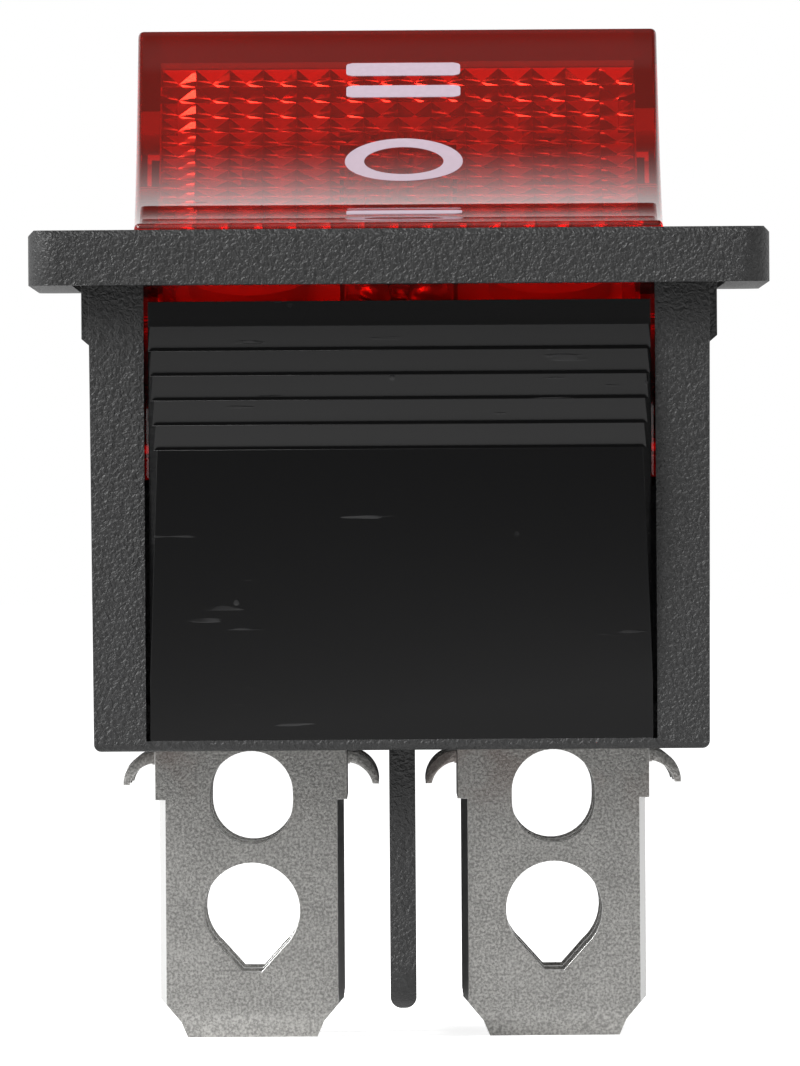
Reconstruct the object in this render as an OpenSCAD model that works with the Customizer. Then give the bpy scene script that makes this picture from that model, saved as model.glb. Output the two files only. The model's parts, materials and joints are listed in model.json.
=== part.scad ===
// Panel rocker switch: lit three-position rocker, two change-over poles, snap-in housing.
// Millimetres. The origin is the centre of the flange's underside, which seats on the panel.
// X runs across the rocker, Y along it, and Z out of the panel.

/* [Flange] */
// Width of the flange, across the rocker
flange_w = 25.5; // [24.5:0.5:30]
// Length of the flange, along the rocker
flange_l = 31; // [30.5:0.5:36]
// Thickness of the flange
flange_t = 1.9; // [1.6:0.1:2.4]
// Radius of the flange's upright corners
flange_r = 1; // [0.5:0.1:2]
// Chamfer round the flange's top edge
flange_edge = 0.2; // [0.1:0.05:0.4]
// Depth of the relief round the body, under the flange
relief_t = 0.2; // [0.1:0.05:0.4]
// Width of the relief round the body
relief_w = 0.55; // [0.5:0.05:0.7]

/* [Body] */
// Width of the body, across the rocker
body_w = 21.4; // [21.2:0.1:22]
// Length of the body, between the latch faces
body_l = 28; // [27.9:0.1:28.6]
// Depth of the body below the panel
body_d = 16.05; // [15.9:0.05:17]
// How much narrower each side of the body is at its foot
body_draft = 0.1; // [0:0.05:0.2]
// Radius of the body's bottom edges
body_edge = 0.25; // [0.1:0.05:0.5]
// Thickness of the floor that holds the terminals
floor_t = 1.6; // [1.2:0.1:1.7]
// Depth of the open space that the rocker swings in
swing_d = 7; // [6.9:0.1:7.3]
// Height that the ribs at the sides stand proud
rib_proud = 0.3; // [0.1:0.05:0.4]
// Length of a side rib down from the flange
rib_drop = 2.1; // [1.5:0.1:3]
// Width of a side rib
rib_w = 2; // [1:0.5:3]
// Distance of the side ribs from the middle
rib_y = 8; // [5:0.5:10]

/* [Latch tongues] */
// Width of a latch tongue
tongue_w = 17.3; // [12:0.1:17.6]
// Width of the slots that free a tongue
tongue_slot = 0.15; // [0.1:0.05:0.5]
// Distance of a tongue's free edge below the flange
tongue_top = 0.57; // [0.4:0.01:0.8]
// Distance of a tongue's root above the body's foot
tongue_root = 0.35; // [0.3:0.05:0.8]
// Room behind a tongue, for it to flex into
tongue_room = 0.8; // [0.6:0.1:1.2]
// Number of ledges on a tongue
ledges = 6; // [3:1:6]
// Distance of the first ledge below the flange
ledge_first = 1.43; // [1.2:0.01:1.6]
// Spacing of the ledges
ledge_pitch = 0.852; // [0.7:0.001:0.9]
// Depth of a ledge
ledge_step = 0.3; // [0.2:0.05:0.4]
// How far the first ledge stands proud of the body
ledge_proud = 0.35; // [0.3:0.05:0.4]
// How much further each lower ledge stands out
ledge_gain = 0.11; // [0.05:0.01:0.12]

/* [Barrier] */
// Thickness of the wall between the two rows of terminals
barrier_t = 0.9; // [0.6:0.1:1.4]
// Depth of that wall below the body
barrier_d = 8.95; // [6:0.05:9.5]
// Length of that wall
barrier_l = 23; // [19:0.5:25]

/* [Rocker] */
// Angle of the rocker from its middle position to either end
tilt = 18.75; // [16:0.25:19]
// Depth of the rocker's pivot below the panel face
pivot_d = 1.6; // [1.5:0.1:1.8]
// Width of the rocker at its foot
cap_w = 18.44; // [18:0.02:18.6]
// How much narrower each side of the rocker is at its top
cap_draft = 0.1; // [0:0.05:0.2]
// Length of the rocker's top
cap_l = 22; // [21.5:0.1:22.2]
// How much further each end of the rocker reaches at its foot
cap_flare = 1.3; // [0.8:0.1:1.4]
// Height of the middle of the rocker's top above the pivot
cap_h = 6.36; // [6.2:0.02:6.6]
// Depth of the dip in the rocker's top
cap_dip = 1.315; // [0.9:0.005:1.5]
// Depth of the rocker's skirt below the pivot
cap_skirt = 1.2; // [1.1:0.1:1.4]
// Thickness of the rocker's side walls
cap_side = 0.8; // [0.7:0.05:0.85]
// Thickness of the rocker's end walls
cap_end = 1.3; // [1:0.1:1.5]
// Thickness of the rocker's top, above its prisms
cap_top = 1.3; // [1:0.05:1.4]
// Radius of the rocker's long top edges
cap_edge = 0.25; // [0.1:0.05:0.4]
// Gap between the rocker and the opening in the flange
rocker_gap = 0.18; // [0.15:0.01:0.25]

/* [Prisms] */
// Spacing of the prisms across the rocker
prism_x = 1.18; // [1:0.01:1.2]
// Spacing of the prisms along the rocker
prism_y = 1.34; // [1:0.01:1.5]
// Height of a prism
prism_h = 0.6; // [0.3:0.05:0.65]

/* [Carrier] */
// Thickness of the carrier's plate
plate_t = 1.3; // [1:0.1:1.5]
// Radius of the pivot pins
pivot_r = 1.2; // [1:0.05:1.3]
// Radial clearance of the pivot pins and the plungers
run_gap = 0.05; // [0.03:0.01:0.08]
// Length of a pivot pin inside the housing's wall
pivot_in = 0.85; // [0.6:0.05:0.9]
// Outer radius of a plunger's tube
tube_r = 2.1; // [1.9:0.05:2.2]
// Depth of a plunger's tube below the pivot
tube_d = 4.6; // [4.2:0.1:4.7]

/* [Plungers] */
// Radius of a plunger
plunger_r = 1.27; // [1.1:0.01:1.35]
// Radius of a plunger's round tip
tip_r = 1; // [0.8:0.05:1.05]
// Distance from the pivot to a plunger's tip
tip_reach = 6.7; // [6.6:0.05:6.8]
// Length of a plunger
plunger_l = 4.7; // [4.4:0.1:4.9]
// Radius of the spring's wire
spring_wire_r = 0.14; // [0.1:0.01:0.18]
// Turns of a plunger's spring
spring_turns = 6; // [4:1:7]

/* [Contacts] */
// Angle of a contact lever from its middle position to either end
lever_tilt = 9; // [8:0.25:9.5]
// Distance from the pivot down to the levers' fulcrum
fulcrum_drop = 8.15; // [8.1:0.05:8.3]
// Radius of the fulcrum
fulcrum_r = 0.6; // [0.5:0.05:0.65]
// Width of a contact lever
lever_w = 4.6; // [4:0.1:5]
// Thickness of a contact lever
lever_t = 0.8; // [0.6:0.05:0.9]
// Distance from the fulcrum to a contact's centre
contact_y = 6.4; // [6.2:0.1:6.5]
// Radius of a moving contact
contact_r = 1.3; // [1:0.05:1.4]
// Height of a moving contact below its lever
contact_h = 0.7; // [0.6:0.05:0.9]
// Radius of a moving contact's crowned face
crown_r = 4; // [3:0.5:6]
// Height of a fixed contact
fixed_h = 0.5; // [0.4:0.05:0.6]
// Gap left between closed contacts
closed_gap = 0.03; // [0.02:0.01:0.06]

/* [Terminals] */
// Width of a terminal's blade
blade_w = 6.35; // [4.8:0.05:6.35]
// Thickness of the blade
blade_t = 0.8; // [0.5:0.1:0.8]
// Distance of the blade's tip below the panel face
blade_tip = 26; // [25.9:0.1:27]
// Width of the blade where it passes the floor
shoulder_w = 6.65; // [6.5:0.05:6.8]
// Distance of the terminals' two columns from the middle
column_x = 5.23; // [5.1:0.01:5.3]
// Spacing of the terminals' rows along the switch
row_pitch = 8.5; // [8.4:0.1:9]
// Clearance round a terminal in the floor
slot_gap = 0.04; // [0.02:0.01:0.08]

/* [Lamp] */
// Radius of the lamp's glass
lamp_r = 1.9; // [1.5:0.05:1.95]
// Length of the lamp's glass
lamp_l = 10.5; // [8:0.5:11]
// Radius of the resistor
resistor_r = 1; // [0.8:0.05:1.1]
// Length of the resistor
resistor_l = 4.8; // [4:0.1:5.2]
// Radius of the lamp's lead wires
lead_r = 0.25; // [0.15:0.05:0.3]

/* [Hidden] */
$fn = 48;
eps = 0.01;
big = 60;

// Colours
black = [0.07, 0.07, 0.07];
red = [0.75, 0.08, 0.05, 0.85];
cream = [0.85, 0.82, 0.74];
brass = [0.78, 0.62, 0.3];
tin = [0.66, 0.65, 0.63];
silver = [0.86, 0.86, 0.84];
steel = [0.6, 0.6, 0.62];
glass = [0.95, 0.8, 0.7, 0.6];
blue = [0.35, 0.55, 0.7];

// The rocker's outline, about its pivot and level
cap_top_w = cap_w - 2 * cap_draft;
cap_edge_h = cap_h + cap_dip;
dish_r = (pow(cap_l / 2, 2) + pow(cap_dip, 2)) / (2 * cap_dip);
dish_z = cap_h + dish_r;
cap_foot_l = cap_l + 2 * cap_flare;
cap_reach = cap_l / 2 * cos(tilt) + cap_edge_h * sin(tilt);

// The opening that the rocker moves in
open_w = cap_w + 2 * rocker_gap;
open_l = 2 * (cap_reach + rocker_gap);
foot_z = -body_d;
floor_z = foot_z + floor_t;
swing_z = -swing_d;

// The latch tongues, from the body's face outwards
latch_face = body_l / 2;
tongue_foot = foot_z + tongue_root;
tongue_back = open_l / 2;
ledge_low = ledge_first + ledge_pitch * (ledges - 1);
ledge_out = ledge_proud + ledge_gain * (ledges - 1);
tongue_bevel = 0.3;

// The carrier inside the rocker
cap_in_w = cap_top_w - 2 * cap_side;
plate_gap = 0.1;
plate_w = cap_in_w - 2 * plate_gap;
plate_top = 1.6;
plate_foot = plate_top - plate_t;
plate_l = cap_foot_l - 2 * cap_end - 2 * cap_flare * (plate_top + cap_skirt) / (cap_edge_h + cap_skirt)
    - 2 * plate_gap;
bore_top = 1.5;
tube_top = 2.2;
pivot_end = open_w / 2 + pivot_in;
pivot_room = 0.1;
seat_gap = 0.05;
tip_z = tip_r - tip_reach;
plunger_top = plunger_l - tip_reach;

// The prisms under the rocker's top, as a grid of pyramids on an arc
prism_base = dish_r + cap_top;
prism_cols = floor(cap_in_w / prism_x);
prism_step = prism_y / prism_base * 180 / PI;
prism_rows = floor((cap_l - 2 * cap_end) / prism_y);
prism_root = 0.3;

// The contact levers, about their fulcrum and level
tip_gap = 0.1;
swing_tip = [
    (tip_reach - tip_r) * sin(tilt),
    fulcrum_drop - (tip_reach - tip_r) * cos(tilt)
];
tip_low = fulcrum_drop + tip_z;
tip_side = swing_tip[0] * cos(lever_tilt) - swing_tip[1] * sin(lever_tilt);
tip_rise = swing_tip[0] * sin(lever_tilt) + swing_tip[1] * cos(lever_tilt) - tip_low;
path_r = (pow(tip_side, 2) + pow(tip_rise, 2)) / (2 * tip_rise);
trough_r = path_r + tip_r + tip_gap;
trough_z = tip_low + path_r;
trough_angle = asin(tip_side / path_r) + 8;
fulcrum_z = -pivot_d - fulcrum_drop;

// The fixed contacts stand on the end terminals' shelves, clear of the floor
shelf_h = 2.75;
shelf_z = floor_z + shelf_h;
contact_top = shelf_z + fixed_h;
crown_z = (contact_top + closed_gap - fulcrum_z + contact_y * sin(lever_tilt) + crown_r)
    / cos(lever_tilt);
contact_low = crown_z - crown_r;
arm_foot = contact_low + contact_h;
arm_mid = arm_foot + lever_t / 2;
arm_past = 0.2;
lever_end = contact_y + contact_r + arm_past;
rivet_r = 0.7;
rivet_gap = 0.02;
rivet_head_r = 1.1;
rivet_head_h = 0.25;
fixed_r = 1.4;

// The terminals
bend_r = 0.4;
bend_leg = 0.5;
shelf_past = 0.1;
shelf_end = contact_y - fixed_r - shelf_past;
well_past = 1.3;
well_l = 2 * (row_pitch + blade_t / 2 + well_past);
well_rib = 1.4;
ear_r = 1.1;
ear_t = 0.5;
ear_drop = 1.15;
shoulder_d = 17.78;
eye_w = 2.87;
eye_h = 3.2;
eye_d = 17.7;
drop_r = 1.66;
drop_d = 21.62;
drop_foot = 2.11;
drop_flat = 0.65;

// The lamp and its leads, about the pivot
lamp_z = 2.3;
lamp_y = -5.4;
lamp_slot_l = 14.4;
lead_z = 2.6;
lead_out = 0.6;
resistor_gap = 0.15;
resistor_z = plate_top + resistor_r + resistor_gap;
resistor_y = 2.7;

// ---- Helpers ----

// A slab with round corners, centred on X and Y, from z = 0 up
module round_slab(w, l, h, r) {
    linear_extrude(h) round_rect(w, l, r);
}

module round_rect(w, l, r) {
    square([w - 2 * r, l], center = true);
    square([w, l - 2 * r], center = true);
    for (x = [-1, 1], y = [-1, 1])
        translate([x * (w / 2 - r), y * (l / 2 - r)]) circle(r);
}

// A YZ outline drawn as [y, z], extruded along X and centred
module along_x(w) {
    rotate([90, 0, 90]) translate([0, 0, -w / 2]) linear_extrude(w) children();
}

// An XZ outline drawn as [x, z], extruded along Y and centred
module along_y(l) {
    rotate([90, 0, 0]) translate([0, 0, -l / 2]) linear_extrude(l) children();
}

// A block given by its lowest and highest corners
module span(low, high) {
    translate(low) cube(high - low);
}

// A flat strip with round ends, from a to b in its plane
module strip(a, b, t) {
    run = b - a;
    translate(a) rotate(atan2(run[1], run[0])) {
        translate([0, -t / 2]) square([norm(run), t]);
        circle(t / 2);
        translate([norm(run), 0]) circle(t / 2);
    }
}

// A wire through a list of points, swept as an eight-sided tube
module wire(points, r) {
    sides = 8;
    last = len(points) - 1;
    lead = [1, 2, 3];
    function unit(v) = v / norm(v);
    function heading(i) =
        unit((i < last ? unit(points[i + 1] - points[i]) : [0, 0, 0])
            + (i > 0 ? unit(points[i] - points[i - 1]) : [0, 0, 0]));
    function ring(i) =
        let (t = heading(i), u = unit(cross(lead, t)), v = cross(t, u))
        [for (a = [0 : 360 / sides : 359]) points[i] + r * (u * cos(a) + v * sin(a))];
    polyhedron(points = [for (i = [0 : last], p = ring(i)) p], faces = concat(
        [[for (k = [0 : sides - 1]) k]],
        [[for (k = [sides - 1 : -1 : 0]) last * sides + k]],
        [for (i = [0 : last - 1], k = [0 : sides - 1], half = [0, 1])
            let (n = (k + 1) % sides, a = i * sides, b = a + sides)
            half == 0 ? [a + k, b + k, b + n] : [a + k, b + n, a + n]]
    ));
}

// Places its children on the rocker as it lies with its near end pressed
module on_rocker() {
    translate([0, 0, -pivot_d]) rotate([tilt, 0, 0]) children();
}

// Places its children on the contact lever of one column
module on_lever(side) {
    translate([side * column_x, 0, fulcrum_z]) rotate([-lever_tilt, 0, 0]) children();
}

// ---- Housing ----

module flange() {
    difference() {
        intersection() {
            round_slab(flange_w, flange_l, flange_t, flange_r);
            along_x(big) chamfered_face(flange_l);
            along_y(big) chamfered_face(flange_w);
        }
        translate([0, 0, -eps])
            linear_extrude(relief_t + eps)
                square([body_w + 2 * relief_w, body_l + 2 * relief_w], center = true);
    }
}

module chamfered_face(w) {
    polygon([
        [-w / 2, -eps], [w / 2, -eps],
        [w / 2, flange_t - flange_edge], [w / 2 - flange_edge, flange_t],
        [flange_edge - w / 2, flange_t], [-w / 2, flange_t - flange_edge]
    ]);
}

// Body seen from the end: straight sides with a little draft, and round bottom edges
module body_face(w, draft) {
    foot = w / 2 - draft;
    r = body_edge;
    polygon(concat(
        [[w / 2, relief_t + eps], [-w / 2, relief_t + eps]],
        [for (a = [180 : 15 : 270]) [r - foot + r * cos(a), foot_z + r + r * sin(a)]],
        [for (a = [270 : 15 : 360]) [foot - r + r * cos(a), foot_z + r + r * sin(a)]]
    ));
}

module body_block() {
    intersection() {
        along_y(body_l) body_face(body_w, body_draft);
        along_x(big) body_face(body_l, 0);
    }
}

// Tongue outline at the +Y end: ledges face the flange, then a long ramp back to the body
module tongue_face() {
    out = [for (i = [0 : ledges - 1]) latch_face + ledge_proud + ledge_gain * i];
    z = [for (i = [0 : ledges - 1]) -ledge_first - ledge_pitch * i];
    polygon(concat(
        [[tongue_back, tongue_foot - eps], [tongue_back, -tongue_top]],
        [[out[0] - ledge_step, -tongue_top]],
        [for (i = [0 : ledges - 1], inner = [1, 0]) [out[i] - inner * ledge_step, z[i]]],
        [[latch_face, tongue_foot - eps]]
    ));
}

module tongue() {
    half = tongue_w / 2;
    intersection() {
        along_x(tongue_w) tongue_face();
        translate([0, 0, foot_z])
            linear_extrude(body_d)
                polygon([
                    [-half, 0], [half, 0], [half, latch_face + ledge_proud / 2],
                    [half - tongue_bevel, latch_face + ledge_out],
                    [tongue_bevel - half, latch_face + ledge_out],
                    [-half, latch_face + ledge_proud / 2]
                ]);
    }
}

// The gap round three edges of a tongue, and the room behind it
module tongue_gap() {
    half = tongue_w / 2 + tongue_slot;
    span([-half, tongue_back - eps, tongue_foot], [half, latch_face + 1, 0]);
    span([-half, tongue_back - tongue_room, floor_z], [half, tongue_back, swing_z + eps]);
}

// A rib on one side of the body, which takes up the play in the panel's hole
module side_rib() {
    bury = body_draft + 0.2;
    translate([body_w / 2 - bury, 0, 0])
        along_y(rib_w)
            polygon([
                [0, relief_t + eps], [bury + rib_proud, relief_t + eps],
                [bury + rib_proud, -rib_drop + rib_proud], [bury - body_draft / 2, -rib_drop],
                [0, -rib_drop]
            ]);
}

module barrier() {
    tip_round = 0.4;
    corner = 1.5;
    intersection() {
        along_y(barrier_l) {
            translate([-barrier_t / 2, foot_z - barrier_d + tip_round])
                square([barrier_t, barrier_d - tip_round + eps]);
            translate([tip_round - barrier_t / 2, foot_z - barrier_d])
                square([barrier_t - 2 * tip_round, 1]);
            for (x = [-1, 1])
                translate([x * (barrier_t / 2 - tip_round), foot_z - barrier_d + tip_round])
                    circle(tip_round);
        }
        along_x(big)
            translate([0, foot_z - barrier_d / 2 + corner / 2])
                round_rect(barrier_l, barrier_d + corner, corner);
    }
}

// One contact well: open to the rocker above, with slots for its three terminals
module well() {
    low_x = well_rib / 2;
    span([low_x, -well_l / 2, floor_z], [open_w / 2, well_l / 2, swing_z + 1]);
    for (row = [-1, 0, 1])
        translate([column_x, row * row_pitch, foot_z - eps])
            linear_extrude(floor_t + 2 * eps)
                square([shoulder_w + 2 * slot_gap, blade_t + 2 * slot_gap], center = true);
}

module housing() {
    color(black) {
        difference() {
            union() {
                flange();
                body_block();
                for (x = [0, 180], y = [-1, 1])
                    rotate([0, 0, x]) translate([0, y * rib_y, 0]) side_rib();
            }
            span([-open_w / 2, -open_l / 2, swing_z], [open_w / 2, open_l / 2, flange_t + 1]);
            for (turn = [0, 180]) rotate([0, 0, turn]) {
                tongue_gap();
                well();
            }
            rotate([0, 90, 0])
                translate([pivot_d, 0, -pivot_end - pivot_room])
                    cylinder(r = pivot_r + run_gap, h = 2 * (pivot_end + pivot_room));
        }
        for (turn = [0, 180]) rotate([0, 0, turn]) tongue();
        barrier();
    }
}

// ---- Rocker ----

// Rocker seen from the side: flared ends, open at the top where the dish is cut
module cap_side_face(inset, foot, head) {
    rise = cap_edge_h + cap_skirt;
    function half(z) = cap_foot_l / 2 - inset - cap_flare * (z + cap_skirt) / rise;
    polygon([
        [-half(foot), foot], [half(foot), foot],
        [half(head), head], [-half(head), head]
    ]);
}

// The dished block: a ring about the dish's axis, with round edges along its rim
module dished_block() {
    r = cap_edge;
    depth = dish_z + cap_skirt + 1;
    lean = cap_draft / (cap_edge_h + cap_skirt);
    foot_half = cap_top_w / 2 + lean * (depth - dish_r);
    translate([0, 0, dish_z])
        rotate([0, 90, 0])
            rotate_extrude($fn = 180) {
                polygon([
                    [dish_r + r, -cap_top_w / 2], [depth, -foot_half],
                    [depth, foot_half], [dish_r + r, cap_top_w / 2]
                ]);
                translate([dish_r, r - cap_top_w / 2]) square([2 * r, cap_top_w - 2 * r]);
                for (x = [-1, 1])
                    translate([dish_r + r, x * (cap_top_w / 2 - r)]) circle(r);
            }
}

// A full cylinder about the dish's axis
module dish(r) {
    translate([0, 0, dish_z])
        rotate([0, 90, 0]) cylinder(r = r, h = big, center = true, $fn = 180);
}

// A grid of pyramids that point down, on the underside of the dished top
module prisms() {
    function at(i, j, r) =
        [(i - prism_cols / 2) * prism_x,
            r * sin((j - prism_rows / 2) * prism_step),
            dish_z - r * cos((j - prism_rows / 2) * prism_step)];
    wide = prism_cols + 1;
    rows = prism_rows + 1;
    base = wide * rows;
    tips = 2 * base;
    function low(i, j) = i + j * wide;
    function high(i, j) = base + i + j * wide;
    polyhedron(
        points = concat(
            [for (j = [0 : prism_rows], i = [0 : prism_cols]) at(i, j, prism_base)],
            [for (j = [0 : prism_rows], i = [0 : prism_cols]) at(i, j, prism_base - prism_root)],
            [for (j = [0 : prism_rows - 1], i = [0 : prism_cols - 1])
                at(i + 0.5, j + 0.5, prism_base + prism_h)]
        ),
        faces = concat(
            [for (j = [0 : prism_rows - 1], i = [0 : prism_cols - 1], side = [0 : 3])
                let (ring = [low(i, j), low(i + 1, j), low(i + 1, j + 1), low(i, j + 1)])
                [ring[side], ring[(side + 1) % 4], tips + i + j * prism_cols]],
            [for (j = [0 : prism_rows - 1], i = [0 : prism_cols - 1])
                [high(i, j), high(i, j + 1), high(i + 1, j + 1), high(i + 1, j)]],
            [for (i = [0 : prism_cols - 1]) [high(i, 0), high(i + 1, 0), low(i + 1, 0), low(i, 0)]],
            [for (i = [0 : prism_cols - 1])
                [low(i, prism_rows), low(i + 1, prism_rows), high(i + 1, prism_rows),
                    high(i, prism_rows)]],
            [for (j = [0 : prism_rows - 1]) [low(0, j), low(0, j + 1), high(0, j + 1), high(0, j)]],
            [for (j = [0 : prism_rows - 1])
                [high(prism_cols, j), high(prism_cols, j + 1), low(prism_cols, j + 1),
                    low(prism_cols, j)]]
        )
    );
}

// A wedge under the carrier's plate that keeps the cap on it
module snap_lug() {
    catch = 0.35;
    length = 2;
    wall_x = cap_in_w / 2;
    translate([wall_x - catch, 0, 0])
        along_y(length)
            polygon([
                [0, plate_foot - seat_gap], [catch + eps, plate_foot - seat_gap],
                [catch + eps, plate_foot - seat_gap - 3 * catch]
            ]);
}

module rocker_cap() {
    notch_r = pivot_r + 0.15;
    color(red) on_rocker() {
        difference() {
            intersection() {
                dished_block();
                along_x(big) cap_side_face(0, -cap_skirt, cap_edge_h + 1);
            }
            difference() {
                along_x(cap_in_w) cap_side_face(cap_end, -cap_skirt - 1, cap_edge_h);
                dish(prism_base - prism_root / 3);
            }
            along_x(big) {
                circle(notch_r);
                translate([-notch_r, -cap_skirt - 1]) square([2 * notch_r, cap_skirt + 1]);
            }
        }
        prisms();
        for (turn = [0, 180], y = [-1, 1])
            rotate([0, 0, turn]) translate([0, y * plate_l / 3, 0]) snap_lug();
        cap_stops();
    }
}

// Ribs down from the rocker's top that keep the carrier's plate from rising
module cap_stops() {
    deep = 0.6;
    for (x = [-1, 1], y = [-1, 1])
        translate([x * (cap_in_w / 2 - deep / 2 + eps), y * plate_l / 3, 0])
            difference() {
                translate([-deep / 2, -deep / 2, plate_top + seat_gap])
                    cube([deep, deep, cap_h - plate_top]);
                dish(prism_base - prism_root);
            }
}

module plunger_tube() {
    translate([0, 0, -tube_d]) cylinder(r = tube_r, h = tube_d + tube_top);
}

module plunger_bore() {
    translate([0, 0, -tube_d - eps])
        cylinder(r = plunger_r + run_gap, h = tube_d + bore_top + eps);
    translate([0, 0, bore_top - eps])
        cylinder(r = lead_r + 0.1, h = tube_top - bore_top + 1, $fn = 24);
}

module rocker_carrier() {
    cheek_t = 1.4;
    cheek_l = 4.4;
    bar_w = 1.2;
    bar_y = lamp_l / 3;
    slot_w = 2 * lamp_r + 0.3;
    color(cream) on_rocker() {
        difference() {
            union() {
                difference() {
                    translate([0, 0, plate_foot]) round_slab(plate_w, plate_l, plate_t, 0.5);
                    span([-slot_w / 2, -lamp_slot_l / 2, plate_foot - 1],
                        [slot_w / 2, lamp_slot_l / 2, plate_top + 1]);
                }
                for (y = [-1, 1])
                    translate([0, y * bar_y, 0])
                        span([-slot_w / 2 - eps, -bar_w / 2, lamp_z - lamp_r - 0.9],
                            [slot_w / 2 + eps, bar_w / 2, plate_top]);
                for (x = [-1, 1]) {
                    translate([x * column_x, 0, 0]) plunger_tube();
                    translate([x * (plate_w / 2 - cheek_t / 2), 0, 0])
                        span([-cheek_t / 2, -cheek_l / 2, -pivot_r - 0.3],
                            [cheek_t / 2, cheek_l / 2, plate_foot + eps]);
                }
                rotate([0, 90, 0])
                    difference() {
                        cylinder(r = pivot_r, h = 2 * pivot_end, center = true);
                        cylinder(r = 2 * pivot_r, h = plate_w - cheek_t, center = true);
                    }
            }
            for (x = [-1, 1]) translate([x * column_x, 0, 0]) plunger_bore();
            translate([0, 0, lamp_z])
                rotate([90, 0, 0])
                    cylinder(r = lamp_r + seat_gap, h = lamp_slot_l, center = true);
        }
    }
}

// ---- Lamp ----

module neon_lamp() {
    tip = 0.5;
    pinch_l = 0.9;
    color(glass) on_rocker()
        translate([0, lamp_y, lamp_z])
            rotate([-90, 0, 0]) {
                rotate_extrude()
                    polygon(concat(
                        [[0, -tip], [tip, 0]],
                        [for (a = [0 : 15 : 90])
                            [tip + (lamp_r - tip) * sin(a), lamp_r - tip - (lamp_r - tip) * cos(a)]],
                        [[lamp_r, lamp_l - pinch_l - lamp_r / 2], [lamp_r * 0.8, lamp_l - pinch_l],
                            [0, lamp_l - pinch_l]]
                    ));
                translate([-lamp_r * 0.7, -lamp_r * 0.3, lamp_l - pinch_l - eps])
                    cube([lamp_r * 1.4, lamp_r * 0.6, pinch_l]);
            }
}

lamp_end = lamp_y + lamp_l;

// Each lead runs from the lamp to the top of its spring, the right one through the resistor
module lamp_lead_left() {
    color(tin) on_rocker()
        wire([
            [-lead_out, lamp_end, lamp_z], [-lead_out, lamp_end + 1.2, lamp_z],
            [-column_x, lamp_end - 1, lead_z], [-column_x, 0, lead_z],
            [-column_x, 0, bore_top + 2 * spring_wire_r]
        ], lead_r);
}

module lamp_lead_right() {
    far = resistor_y + resistor_l;
    color(tin) on_rocker()
        wire([
            [lead_out, lamp_end, lamp_z], [lead_out, lamp_end + 1.2, lamp_z],
            [2.4, far + 0.9, resistor_z], [column_x, far + 0.9, resistor_z],
            [column_x, far, resistor_z]
        ], lead_r);
}

module lamp_resistor() {
    cap_len = 0.9;
    neck = 0.12;
    color(blue) on_rocker() {
        translate([column_x, resistor_y, resistor_z])
            rotate([-90, 0, 0])
                rotate_extrude()
                    polygon([
                        [0, 0], [resistor_r - neck, 0], [resistor_r, neck],
                        [resistor_r, cap_len], [resistor_r - neck, cap_len + neck],
                        [resistor_r - neck, resistor_l - cap_len - neck],
                        [resistor_r, resistor_l - cap_len], [resistor_r, resistor_l - neck],
                        [resistor_r - neck, resistor_l], [0, resistor_l]
                    ]);
        wire([
            [column_x, resistor_y + eps, resistor_z], [column_x, 0, resistor_z],
            [column_x, 0, bore_top + 2 * spring_wire_r]
        ], lead_r);
    }
}

// ---- Plungers and springs ----

module plunger(side) {
    collar = 0.2;
    color(brass) on_rocker()
        translate([side * column_x, 0, 0])
            rotate_extrude()
                polygon(concat(
                    [for (a = [-90 : 9 : 0]) [tip_r * cos(a), tip_z + tip_r * sin(a)]],
                    [[tip_r, tip_z + collar], [plunger_r, tip_z + 2 * collar],
                        [plunger_r, plunger_top], [0, plunger_top]]
                ));
}

// A helix with close end turns, its wire drawn as a ring of six points
module spring(side) {
    steps = 16;
    wires = 6;
    gap = 0.03;
    low = plunger_top + spring_wire_r + gap;
    high = bore_top - spring_wire_r - gap;
    close = 2 * spring_wire_r + gap;
    pitch = (high - low - 2 * close) / (spring_turns - 2);
    r = plunger_r + run_gap - spring_wire_r - 2 * gap;
    function climb(t) =
        close * min(t, 1) + pitch * min(max(t - 1, 0), spring_turns - 2)
            + close * max(t - spring_turns + 1, 0);
    function ring(k) =
        [for (w = [0 : wires - 1])
            let (out = r + spring_wire_r * cos(360 * w / wires))
            [out * cos(360 * k / steps), out * sin(360 * k / steps),
                low + climb(k / steps) + spring_wire_r * sin(360 * w / wires)]];
    last = steps * spring_turns;
    color(steel) on_rocker()
        translate([side * column_x, 0, 0])
            polyhedron(points = [for (k = [0 : last], p = ring(k)) p], faces = concat(
                [[for (w = [0 : wires - 1]) w]],
                [[for (w = [wires - 1 : -1 : 0]) last * wires + w]],
                [for (k = [0 : last - 1], w = [0 : wires - 1])
                    let (v = (w + 1) % wires)
                    [k * wires + w, (k + 1) * wires + w, (k + 1) * wires + v, k * wires + v]]
            ));
}

// ---- Contact levers ----

// A bent strip: a trough for the plunger, two crests and two level arms
module lever_face() {
    mid_r = trough_r + lever_t / 2;
    saddle_w = 2.8;
    saddle_z = 0.1;
    elbow_in = 0.6;
    crest = [mid_r * sin(trough_angle), trough_z - mid_r * cos(trough_angle)];
    elbow = [contact_y - rivet_head_r - elbow_in, arm_mid];
    intersection() {
        translate([0, trough_z])
            difference() {
                circle(trough_r + lever_t, $fn = 96);
                circle(trough_r, $fn = 96);
            }
        polygon([
            [0, trough_z], [-crest[0] * 2, trough_z - (trough_z - crest[1]) * 2],
            [0, -big], [crest[0] * 2, trough_z - (trough_z - crest[1]) * 2]
        ]);
    }
    for (side = [-1, 1]) mirror([side < 0 ? 1 : 0, 0]) {
        strip(crest, elbow, lever_t);
        translate([elbow[0], arm_foot]) square([lever_end - elbow[0], lever_t]);
    }
    // the saddle that rocks on the fulcrum
    translate([-saddle_w / 2, saddle_z])
        square([saddle_w, tip_low - tip_r - tip_gap - lever_t / 2 - saddle_z]);
}

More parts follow.
